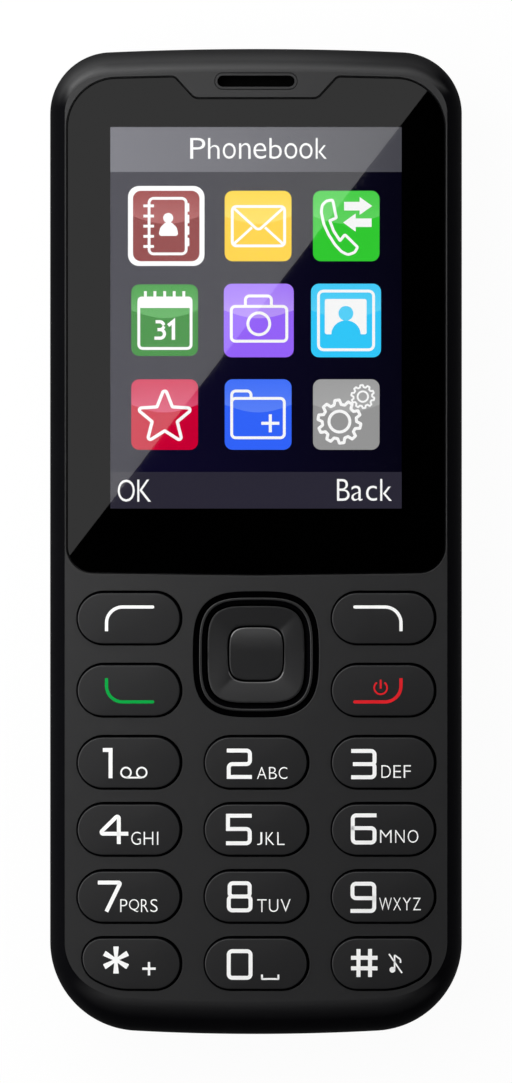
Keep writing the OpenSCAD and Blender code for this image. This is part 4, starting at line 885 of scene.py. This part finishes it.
# star with rounded tips: ten corners, turn about at the outer and the inner radius
starAngle = np.radians(90 + 36 * np.arange(10))
starRadius = np.tile([30.2, 13.2], 5)
stroke(np.column_stack([164.7 + starRadius * np.cos(starAngle), 417.6 - starRadius * np.sin(starAngle),
                        np.tile([2.2, 1.0], 5)]), 3.2, closed=True)
# folder with a plus sign
strokeBox(231.7, 398.4, 284.3, 437.8, 4)
stroke([(231.7, 403, 0), (231.7, 391, 4), (251, 391, 4), (251, 398.4, 0)], 2.8, iconLayer + 1)
strokeLine(261.3, 423.3, 279.3, 423.3, 3)
strokeLine(270.3, 414.3, 270.3, 432.3, 3, iconLayer + 1)


# gear outline: the radius steps between root and tip, with a sloping flank on each tooth
def gear(x, y, root, tip, teeth, bore, width):
    share = np.array([0.0, 0.34, 0.5, 0.84])
    angle = np.radians((np.arange(teeth)[:, None] + share).ravel() * 360 / teeth)
    radius = np.tile([root, root, tip, tip], teeth)
    rounding = np.full(len(angle), 0.5)
    corners = np.column_stack([x + radius * np.cos(angle), y - radius * np.sin(angle), rounding])
    stroke(corners, width, closed=True)
    strokeRing(x, y, bore, width)


gear(339.4, 421.6, 17.2, 21.6, 10, 10.4, 3.0)
gear(362.8, 396.6, 9.4, 11.6, 10, 5.2, 1.9)
addPiece("displayPicture", joined(pictureParts), [litPicture], "handset", None, 20, None,
         np.concatenate(pictureColours))
print("lens and picture made,", len(pictureParts), "shapes")


# key cap: plunger, flange and upright side, a rolled edge, then the outline squeezed to the middle while it
# rises by the crown times one minus the squeeze squared
def keySolid(outlineAt, middle):
    plain = outlineAt(0)
    turn = np.arctan2(*(plain - middle).T[::-1])
    plunger, flange = middle + spokes(turn) * keyForm["plunger"], outlineAt(keyForm["flange"])
    low, high = keyForm["flangeLow"], keyForm["flangeHigh"]
    rings = [raised(plunger, keyForm["plungerLow"]), raised(plunger, low), raised(flange, low),
             raised(flange, high), raised(plain, high)]
    edge, top = keyForm["edge"], keyForm["top"]
    rings += [raised(outlineAt(-inset), top - drop)
              for inset, drop in rolledEdge(edge, 8, keyForm["edgeTurn"])]
    shoulder = outlineAt(-edge)
    rings += [raised(middle + (shoulder - middle) * f, top + keyForm["crown"] * (1 - f * f))
              for f in keyForm["squeezes"]]
    return loft(rings)


# height of a key's crown: the squeeze at a place is its distance from the middle over the shoulder's distance
# in that direction
def crownHeight(outlineAt, middle):
    spoke = outlineAt(-keyForm["edge"]) - middle
    angle = np.arctan2(spoke[:, 1], spoke[:, 0])
    order = np.argsort(angle)
    reach = np.hypot(*spoke.T)

    def height(x, y):
        x, y = x - middle[0], y - middle[1]
        away = np.interp(np.arctan2(y, x), angle[order], reach[order], period=2 * np.pi)
        return keyForm["top"] + keyForm["crown"] * (1 - (np.hypot(x, y) / away) ** 2)

    return height


# figures as strokes in a box one unit wide and high: corner (x, y, r), with r in millimetres
bend = 0.43
figures = {
    "1": [[(0, 1, 0), (1, 1, 0), (1, 0, 0)]],
    "2": [[(0, 1, 0), (1, 1, bend), (1, 0.487, bend), (0, 0.487, bend), (0, 0, 0), (1, 0, 0)]],
    "3": [[(0, 1, 0), (1, 1, bend), (1, 0.5, 0.34), (0.08, 0.5, 0)],
          [(0.08, 0.5, 0), (1, 0.5, 0.34), (1, 0, bend), (0, 0, 0)]],
    "4": [[(0.76, 0, 0), (0.76, 1, 0.2), (0, 0.3, 0.2), (1.05, 0.3, 0)]],
    "5": [[(1, 1, 0), (0, 1, 0), (0, 0.52, 0), (1, 0.52, bend), (1, 0, bend), (0, 0, 0)]],
    "6": [[(1, 1, 0), (0, 1, bend), (0, 0, bend), (1, 0, bend), (1, 0.53, bend), (0, 0.53, 0)]],
    "7": [[(0, 1, 0), (1, 1, 0.16), (0.36, 0, 0)]],
    "8": [[(0.04, 1, 0.4), (0.96, 1, 0.4), (0.96, 0.51, 0.4), (0.04, 0.51, 0.4)],
          [(0, 0.51, bend), (1, 0.51, bend), (1, 0, bend), (0, 0, bend)]],
    "9": [[(0, 0, 0), (1, 0, bend), (1, 1, bend), (0, 1, bend), (0, 0.47, bend), (1, 0.47, 0)]],
    "0": [[(0, 0, bend), (1, 0, bend), (1, 1, bend), (0, 1, bend)]]}
# each key's figure and its outer box in pixels, then its letters, their top and foot and each one's edges
keyLegends = {
    "key_1": ("1", (102.8, 748, 112.5, 778.2), "", 0, 0, []),
    "key_2": ("2", (226.8, 748.6, 251.9, 778.9), "ABC", 767, 779, [257, 266.6, 269, 276.8, 278.7, 287.3]),
    "key_3": ("3", (351.2, 749, 376.5, 779.2), "DEF", 765.2, 777.8, [381.4, 390.8, 393.4, 401, 403.7, 410.8]),
    "key_4": ("4", (97.2, 812.4, 127, 844), "GHI", 831.8, 844.8, [131.2, 140.8, 143.7, 153.3, 157, 158.3]),
    "key_5": ("5", (226, 813.8, 251.7, 845.2), "JKL", 832.2, 845, [257, 262.3, 265.7, 274.3, 277.2, 284.6]),
    "key_6": ("6", (350.8, 813.4, 376.5, 844.5), "MNO", 830, 842.8, [380, 391.6, 395.2, 404.6, 407.7, 418.3]),
    "key_7": ("7", (97.8, 880.6, 122.5, 911.8), "PQRS", 899.2, 912,
              [120.2, 127.3, 129, 139, 141, 148.3, 150.4, 157.6]),
    "key_8": ("8", (226.8, 881.2, 252.5, 912.3), "TUV", 899.2, 912, [257.2, 266.6, 269, 278.3, 280.7, 290.6]),
    "key_9": ("9", (350.5, 881.8, 376.2, 912.9), "WXYZ", 897.7, 910.3,
              [379.2, 391.8, 393.2, 401, 402.7, 411, 413, 420.8]),
    "key_0": ("0", (226.8, 949.2, 252.5, 979.8), "", 0, 0, [])}
# signs of the upper keys in pixels: a bent stroke from a round tip along the bar and round to its foot, the
# right-hand ones mirrored, with a bar and a foot for the soft keys and for the call and end keys
signForm = {"tip": 152.6, "side": 106.5, "mirror": 507.5, "bend": 16, "width": 3.2,
            "softkey": (607, 631.2), "call": (701.9, 678.2), "end": (701.9, 678.2)}
signInks = {"softkey": whiteInk, "call": greenInk, "end": redInk}


# straight or bent lines of print on a crown, each over the ones before it where they cross
def inkLines(paths, width, crown, over):
    return [inkRibbon(path, width, crown, False, inkForm["proud"] + inkForm["over"] * (over + i))
            for i, path in enumerate(paths)]


for name, outlineAt in keyOutlines.items():
    middle = keyMiddles[name]
    words = name.split("_")
    plainName = words[0] + "".join(word.title() for word in words[1:])
    cap = keySolid(lambda grow: outlineAt(grow) + keyForm["capShift"], middle + keyForm["capShift"])
    capMaterial = np.zeros(len(cap[1]))
    # painted shade: the dark glossless copy on the side and most of the rolled edge dims the edge's highlight
    # and darkens the gap round the key
    capMaterial[:keyForm["shadeBands"] * len(outlineAt(0))] = 1  # the side and most of the rolled edge
    addPiece(plainName + "Cap", cap, [keyPolycarbonate, paintedShadeBlack], name, name, 40, capMaterial)
    crown = crownHeight(outlineAt, middle)
    ink, parts = whiteInk, []
    if name in keyLegends:
        figure, (x0, y0, x1, y1), letters, top, foot, edges = keyLegends[name]
        (ax, ay), (bx, by) = atPixel(x0, y1), atPixel(x1, y0)
        half, closed = inkForm["width"] / 2, figure in "80"
        low = np.array([ax, ay]) + half
        if figure == "1":
            low[0] = ax
        boxSize = np.array([bx, by]) - half - low
        for corners in figures[figure]:
            path = roundedPath([(*(low + boxSize * [u, v]), r) for u, v, r in corners], closed, 8)
            if not closed:  # square ends reach the edge of the box
                first, last = path[0] - path[1], path[-1] - path[-2]
                path[0] += first / np.linalg.norm(first) * (0.0 if figure == "1" else half)
                path[-1] += last / np.linalg.norm(last) * half
            proud = inkForm["proud"] + inkForm["over"] * len(parts)
            parts.append(inkRibbon(path, inkForm["width"], crown, closed, proud))
        for letter, x0, x1 in zip(letters, edges[::2], edges[1::2]):
            box = (*atPixel(x0, foot), *atPixel(x1, top))
            parts.append(inkWord(letter, box, crown, offset=inkForm["thinner"]))
    if name == "key_1":  # two reels of tape
        for x in (126, 141.7):
            parts.append(inkRibbon(circle(*atPixel(x, 772.5), 4.9 * pixel, 32), 1.7 * pixel, crown, True))
        parts += inkLines([pixelPath([(126, 777.6, 0), (141.7, 777.6, 0)])], 1.7 * pixel, crown, 0)
    if name == "key_star":  # three arms, waisted in the middle, and a plus sign
        arms = spokes(np.radians([30, 90, 150])) * 13.5 * pixel
        armSteps, armWidths = np.array([[-1.0], [-0.9], [0.0], [0.9], [1.0]]), [0.62, 0.64, 0.32, 0.64, 0.62]
        parts += inkLines([np.array(atPixel(116, 960)) + arm * armSteps for arm in arms], armWidths, crown, 0)
        plus = [[(142.3, 968.7, 0), (155.7, 968.7, 0)], [(149, 962, 0), (149, 975.4, 0)]]
        parts += inkLines([pixelPath(path) for path in plus], 2.4 * pixel, crown, len(parts))
    if name == "key_0":  # space sign
        space = [(262, 974.6, 0), (262, 979, 0.3), (278.4, 979, 0.3), (278.4, 974.6, 0)]
        parts += inkLines([pixelPath(space)], 1.9 * pixel, crown, 0)
    if name == "key_hash":  # four bars, and a crossed note
        bars = [[(x, 949, 0), (x, 977, 0)] for x in (358.5, 370)]
        bars += [[(351, y, 0), (377.5, y, 0)] for y in (957.8, 968.3)]
        note = [(394.6, 969, 0), (394.6, 955, 0.5), (400.5, 959.5, 2), (400.5, 963, 0)]
        parts += inkLines([pixelPath(path) for path in bars], 4.0 * pixel, crown, 0)
        parts.append(inkPatch(circle(*atPixel(392.4, 969.8), 2.9 * pixel, 24), crown))
        parts += inkLines([pixelPath(note)], 1.6 * pixel, crown, 0)
        parts += inkLines([pixelPath([(389, 954, 0), (402, 973, 0)])], 1.5 * pixel, crown, 0)
    if words[0] in signInks:
        ink, (bar, foot) = signInks[words[0]], signForm[words[0]]
        tip, side = signForm["tip"], signForm["side"]
        if middle[0] > 0:
            tip, side = signForm["mirror"] - tip, signForm["mirror"] - side
        bent = pixelPath([(tip, bar, 0), (side, bar, signForm["bend"]), (side, foot, 0)], steps=14)
        roundTip = circle(*atPixel(tip, bar), signForm["width"] / 2 * pixel, 24)
        parts += inkLines([bent], signForm["width"] * pixel, crown, 0)
        parts.append(inkPatch(roundTip, crown, inkForm["proud"] + inkForm["over"]))
    if name == "end_key":  # power sign: a ring open at the top and a bar
        turn = np.radians(np.linspace(125, 415, 40))
        openRing = np.array(atPixel(380.7, 687.8)) + spokes(turn) * 6.4 * pixel
        parts += inkLines([openRing], 1.7 * pixel, crown, 0)
        parts += inkLines([pixelPath([(380.7, 679.6, 0), (380.7, 688.6, 0)])], 2 * pixel, crown, 1)
    if parts:
        addPiece(plainName + "Legend", joined(parts), [ink], name, None, 30)
print("keys made:", len(keyOutlines))

# navigation set on superellipses round one middle: a beaded ring, a plate dished to four sides, a domed key
navForm = {"y": coverForm["navY"], "wellPower": coverForm["well"][1], "ringSize": 13.32, "ringPower": 3.5,
           "ringFlange": (16.0, 10.55, 11.05), "bore": 12.0, "boreTop": 12.0, "crest": 0.3, "crestRoll": 0.09,
           "crestTop": 13.1, "crestFoot": 12.3, "plateSize": 11.6, "plateHole": 6.68, "platePower": 3.9,
           "plateFlange": (13.3, 9.75, 10.15), "plateLow": 12.65, "endSlope": 0.17, "ease": 0.1,
           "leastAway": 0.1, "plateEdge": [(0, 0.1), (0.02, 0.04), (0.06, 0.01), (0.1, 0.0)],
           "holeEdge": [(0.2, 0.01), (0.1, 0.05), (0.03, 0.11), (0, 0.18)], "dish": (0.5, 0.28, 14),
           "pocket": (8.18, 11.2), "selectSize": 6.4, "selectTop": 12.87, "selectUp": 0.09,
           "selectEdge": 0.14, "selectFlange": (7.3, 10.35, 10.85), "tilt": 0.1, "bow": 0.13, "bowFrom": 0.3,
           "plunger": 2.4, "plungerLow": 9.75, "highlightFrom": 0.55}
navMiddle = np.array([0, navForm["y"]])


def navRing(size, power, height):
    return raised(squircle(size, power) + navMiddle, height)


# ring: up outside the flange, in over it, up to a narrow crest with rolled corners, down inside to the bore
ringSize, ringPower, platePower = navForm["ringSize"], navForm["ringPower"], navForm["platePower"]
crest = [(navForm["crest"] / 2 - inset, navForm["crestTop"] - drop)
         for inset, drop in rolledEdge(navForm["crestRoll"], 4)]
flangeSize, flangeLow, flangeHigh = navForm["ringFlange"]
profile = [(navForm["bore"], flangeLow, platePower), (flangeSize, flangeLow, navForm["wellPower"]),
           (flangeSize, flangeHigh, navForm["wellPower"]),
           (ringSize + navForm["crest"], flangeHigh, ringPower)]
crestFirst = len(profile)
profile += [(ringSize + 2 * away, height, ringPower) for away, height in crest]
profile += [(ringSize - 2 * away, height, ringPower) for away, height in crest[::-1]]
crestLast = len(profile) - 1
profile += [(ringSize - navForm["crest"], navForm["crestFoot"], ringPower),
            (navForm["bore"], navForm["boreTop"], platePower), (navForm["bore"], flangeLow, platePower)]
ringPart = tube([navRing(size, power, height) for size, height, power in profile])
bands = np.arange(len(profile) - 1)
# the crest takes the bead's paint; the walls take the dark glossless copy, black like the ring under its
# paint, and their missing gloss is painted shade in the grooves on either side of the bead
ringMaterial = np.where((bands >= crestFirst) & (bands < crestLast), 0, 1)
addPiece("navBeadRing", ringPart, [ringPaint, paintedShadeBlack], "nav_ring", "nav_ring", 40,
         np.repeat(ringMaterial, len(ringPart[1]) // len(bands)))


# plate top: a slope up from the hole to the top and to the bottom, where it eases off; towards the sides the
# rise shrinks with the square of the direction's tangent, so that each side lies level in its middle
def plateHeight(points):
    away = points - navMiddle
    out = np.abs(away).max(1) - navForm["selectSize"] / 2
    lean = np.minimum(1, (away[:, 1] / np.maximum(np.abs(away[:, 0]), navForm["leastAway"])) ** 2)
    eased = 1 - np.where(away[:, 1] < 0, navForm["ease"] * out, 0)
    return navForm["plateLow"] + navForm["endSlope"] * out * lean * eased


# plate loops: round the ring's middle at the outside, round the select key's at the hole
def plateLoop(size):
    share = (navForm["plateSize"] - size) / (navForm["plateSize"] - navForm["plateHole"])
    return squircle(size, platePower) + navMiddle + [0, navForm["selectUp"] * share]


plateSize, holeSize = navForm["plateSize"], navForm["plateHole"]
fromEdge, fromHole, dishSteps = navForm["dish"]
(pocketSize, pocketTop), (flangeSize, flangeLow, flangeHigh) = navForm["pocket"], navForm["plateFlange"]
plateRings = [navRing(size, platePower, height) for size, height in [
    (pocketSize, flangeLow), (flangeSize, flangeLow), (flangeSize, flangeHigh), (plateSize, flangeHigh)]]
plateSteps = [(plateSize - inset, drop) for inset, drop in navForm["plateEdge"]]
plateSteps += [(size, 0.0) for size in np.linspace(plateSize - fromEdge, holeSize + fromHole, dishSteps)]
plateSteps += [(holeSize + inset, drop) for inset, drop in navForm["holeEdge"]]
for size, drop in plateSteps:
    loop = plateLoop(size)
    plateRings.append(np.column_stack([loop, plateHeight(loop) - drop]))
plateRings += [navRing(size, platePower, height) for size, height in [
    (holeSize, pocketTop), (pocketSize, pocketTop), (pocketSize, flangeLow)]]
around = len(plateRings[0])
facing = np.sin(2 * np.pi * (np.arange(around) + 0.5) / around)  # one up the phone, minus one down it
plateMaterial = np.zeros((len(plateRings) - 1, around))
# painted highlight: the glossier copy only on the lower side of the hole's edge, whose roll leans towards the
# top light
plateMaterial[-7:-3] = np.where(facing < -navForm["highlightFrom"], 1, 0)  # the hole's edge, where it faces down
plateMaterial[[0, 1, 2, 3, -3, -2, -1]] = 2  # flange, side and pocket
addPiece("navDishedPlate", tube(plateRings), [keyPolycarbonate, paintedHighlightGloss, paintedShadeBlack],
         "nav_plate", "nav_plate", 40, plateMaterial.ravel())


# select key: tilted a little down the phone, and bowed down again with the square of the distance past a line
# across it
def selectHeight(points):
    up = points[:, 1] - navMiddle[1]
    bow = navForm["bow"] / 2 * np.maximum(0, up - navForm["bowFrom"]) ** 2
    return navForm["selectTop"] + navForm["tilt"] * up - bow


selectSize, selectEdge, plunger = (navForm[key] for key in ("selectSize", "selectEdge", "plunger"))
flangeSize, flangeLow, flangeHigh = navForm["selectFlange"]
selectRings = [navRing(plunger, 2, navForm["plungerLow"]), navRing(plunger, 2, flangeLow),
               navRing(flangeSize, platePower, flangeLow), navRing(flangeSize, platePower, flangeHigh),
               navRing(selectSize, platePower, flangeHigh) + [0, navForm["selectUp"], 0]]
selectSteps = [(selectSize - 2 * inset, drop) for inset, drop in rolledEdge(selectEdge, 6)]
selectSteps += [((selectSize - 2 * selectEdge) * f, 0) for f in np.linspace(0.97, 0.05, 16)]
for size, drop in selectSteps:
    loop = squircle(size, platePower) + navMiddle + [0, navForm["selectUp"]]
    selectRings.append(np.column_stack([loop, selectHeight(loop) - drop]))
selectMaterial = np.zeros((len(selectRings) - 1, around))
# painted highlight: the glossier copy only on the upper side of the rolled edge, which faces the top light
selectMaterial[5:10] = np.where(facing > navForm["highlightFrom"], 1, 0)  # the rolled edge, where it faces up
selectMaterial[:5] = 2  # plunger, flange and side
addPiece("selectDome", loft(selectRings), [keyPolycarbonate, paintedHighlightGloss, paintedShadeBlack], "select_key",
         "select_key", 40, np.append(selectMaterial.ravel(), [2, 0]))
print("navigation keys made")


# a copy of a CAD node: its loose triangles merged and shaded smooth up to the angle
def smoothCopy(name, node, material, body, angle):
    mesh = frame["nodes"][node].data.copy()
    mesh.materials.clear()
    mergeSeams(mesh, 0.001)
    points, faces = meshPart(mesh)
    bpy.data.meshes.remove(mesh)
    addPiece(name, (points / mm, faces), [material], body, node, angle)


smoothCopy("rearHousing", "rear_housing", blackAbs, "handset", 35)
smoothCopy("backCover", "back_cover", blackAbs, "back_cover", 35)


# camera: rings (radius, height) round its axis; the window is a chamfered disc, clear in the middle and
# printed black round it; the lens behind it, in a barrel, is a dome with the square of the radius
windowForm = {"y": 48.0, "radius": 3.6, "clear": 1.9, "chamfer": 0.15, "outside": 1.2, "inside": 1.8}
barrelForm = {"dome": 1.65, "apex": 1.86, "sag": 0.19, "barrel": [(1.75, 1.92), (2.3, 1.92), (2.3, 2.25)]}


def turnedSolid(profile):
    return loft([raised(circle(0, windowForm["y"], radius), height) for radius, height in profile])


windowClear, windowWide, chamfer = (windowForm[key] for key in ("clear", "radius", "chamfer"))
windowOut, windowIn = windowForm["outside"], windowForm["inside"]
windowPart = turnedSolid([(windowClear, windowOut), (windowWide - chamfer, windowOut),
                          (windowWide, windowOut + chamfer), (windowWide, windowIn), (windowClear, windowIn)])
# front and side, back, and the two clear discs in the middle
windowMaterial = np.repeat([1, 2, 0], [3 * ringSteps, ringSteps, 2])
addPiece("cameraWindow", windowPart, [clearAcrylic, blackGloss, blackPrint], "handset",
         "camera_window", 30, windowMaterial)
domeProfile = [(r, barrelForm["apex"] + barrelForm["sag"] * (r / barrelForm["dome"]) ** 2)
               for r in barrelForm["dome"] * np.linspace(0.06, 1, 7)]
# dome, barrel, and the end of each
cameraMaterial = np.repeat([0, 1, 0, 1], [6 * ringSteps, 3 * ringSteps, 1, 1])
addPiece("cameraLens", turnedSolid(domeProfile + barrelForm["barrel"]),
         [slotFinishes["camera_glass"], slotFinishes["black_nylon"]], "handset", None, 30,
         cameraMaterial)
slotOf = {part["node"]: part["material_slot"] for part in frame["record"]["subparts"]}
for node, item in frame["nodes"].items():
    item.data.materials.clear()
    item.data.materials.append(slotFinishes[slotOf[node]])
print("housings and inner parts finished")

# plain pale floor: camera, gloss and glass see it near white, and it still takes the object's shadow
floorForm = {"reach": 6.0, "level": -0.0001, "colour": "#F4F4F4", "white": 0.96}
floorMaterial, floorTree = emptyMaterial("paleFloor")


def floorMaths(operation, first, second, clamped=False):
    node = addNode(floorTree, "ShaderNodeMath", {0: first, 1: second}, operation=operation, use_clamp=clamped)
    return node.outputs[0]


seen = addNode(floorTree, "ShaderNodeLightPath").outputs
seenDirect = floorMaths("ADD", seen["Is Camera Ray"], seen["Is Glossy Ray"])
seenAll = floorMaths("ADD", seenDirect, seen["Is Transmission Ray"], True)
whiteShare = floorMaths("MULTIPLY", seenAll, floorForm["white"])
matt = addNode(floorTree, "ShaderNodeBsdfDiffuse", {"Color": linear(floorForm["colour"])})
glow = addNode(floorTree, "ShaderNodeEmission", {"Color": linear("#FFFFFF"), "Strength": 1.0})
floorMix = addNode(floorTree, "ShaderNodeMixShader", {0: whiteShare, 1: matt.outputs[0], 2: glow.outputs[0]})
addNode(floorTree, "ShaderNodeOutputMaterial", {"Surface": floorMix.outputs[0]})
floorMesh = bpy.data.meshes.new("floor")
floorCorners = [(x * floorForm["reach"], y * floorForm["reach"], floorForm["level"])
                for x, y in ((-1, -1), (1, -1), (1, 1), (-1, 1))]
floorMesh.from_pydata(floorCorners, [], [(0, 1, 2, 3)])
floorMesh.materials.append(floorMaterial)
floor = linkedItem("floor", floorMesh)

camera = bpy.data.cameras.new("camera")
camera.lens, camera.sensor_width, camera.clip_end = (cameraForm[key] for key in ("lens", "sensor", "clip"))
cameraHigh = (cameraAway + cameraForm["level"]) * mm
eye = linkedItem("camera", camera)
eye.location = (0, 0, cameraHigh)
bpy.context.scene.camera = eye

# lights, in metres: a card above the object is mirrored in the lens up to a slanting line (edgeA to edgeB, in
# mm on the lens); a broad softbox stands beyond the top end and a strip on each side, and two small softboxes
# close by on the left make the tone fall off across the face
lightForm = {"high": 0.1, "low": -0.55, "far": 0.065, "deep": 0.7, "radiance": 0.85, "edgeA": (20.42, 53.87),
             "edgeB": (-22.64, -2.1), "sky": 0.24, "skyFade": (0.15, 0.55)}
boxForms = {"topSoftbox": {"place": (-0.1, 0.9, 1.0), "wide": 1.4, "high": 0.9, "power": 5.2},
            "leftStrip": {"place": (-0.9, 0.15, 0.45), "wide": 1.6, "high": 0.8, "power": 2.7},
            "rightStrip": {"place": (0.9, 0.1, 0.45), "wide": 1.6, "high": 0.8, "power": 4.4},
            "nearCorner": {"place": (-0.12, 0.2, 0.16), "wide": 0.2, "high": 0.2, "power": 0.26},
            "nearSide": {"place": (-0.2, 0.0, 0.2), "wide": 0.24, "high": 0.24, "power": 0.3}}


def addLight(name, place, turn, wide, high, power):
    light = bpy.data.lights.new(name, "AREA")
    light.shape, light.size, light.size_y, light.energy = "RECTANGLE", wide, high, power
    item = linkedItem(name, light)
    item.location, item.rotation_euler = place, turn


edgeA, edgeB = np.array(lightForm["edgeA"]) * mm, np.array(lightForm["edgeB"]) * mm
cardAlong = (edgeA - edgeB) / np.linalg.norm(edgeA - edgeB)
cardAcross = np.array([-cardAlong[1], cardAlong[0]])
lensTop = lensForm["high"] * mm
stretch = 1 + lightForm["high"] / (cameraHigh - lensTop)
cardLong, cardDeep = lightForm["far"] - lightForm["low"], lightForm["deep"]
cardMiddle = (edgeA + edgeB) / 2 * stretch
cardMiddle = cardMiddle + cardAlong * (lightForm["far"] + lightForm["low"]) / 2 + cardAcross * cardDeep / 2
cardTurn = np.arctan2(cardAlong[1], cardAlong[0])
addLight("lensCard", (*cardMiddle, lightForm["high"] + lensTop), (0, 0, cardTurn), cardLong, cardDeep,
         lightForm["radiance"] * np.pi * cardLong * cardDeep)
for name, form in boxForms.items():
    aim = (-Vector(form["place"])).to_track_quat("-Z", "Y").to_euler()
    addLight(name, form["place"], aim, form["wide"], form["high"], form["power"])

# sky: dim at the horizon and dark overhead, so that only the card is mirrored in the lens
world = bpy.data.worlds.new("studio")
bpy.context.scene.world = world
world.use_nodes = True
skyTree = world.node_tree
skyTree.nodes.clear()
direction = addNode(skyTree, "ShaderNodeTexCoord").outputs["Generated"]
upward = addNode(skyTree, "ShaderNodeSeparateXYZ", {"Vector": direction}).outputs["Z"]
skyLevel = addNode(skyTree, "ShaderNodeMapRange", {
    "Value": upward, "From Min": lightForm["skyFade"][0], "From Max": lightForm["skyFade"][1],
    "To Min": lightForm["sky"], "To Max": 0.0})
sky = addNode(skyTree, "ShaderNodeBackground", {
    "Color": linear("#FFFFFF"), "Strength": skyLevel.outputs["Result"]})
addNode(skyTree, "ShaderNodeOutputWorld", {"Surface": sky.outputs[0]})
bpy.context.scene.view_settings.view_transform = "Standard"
print("camera and lights set")
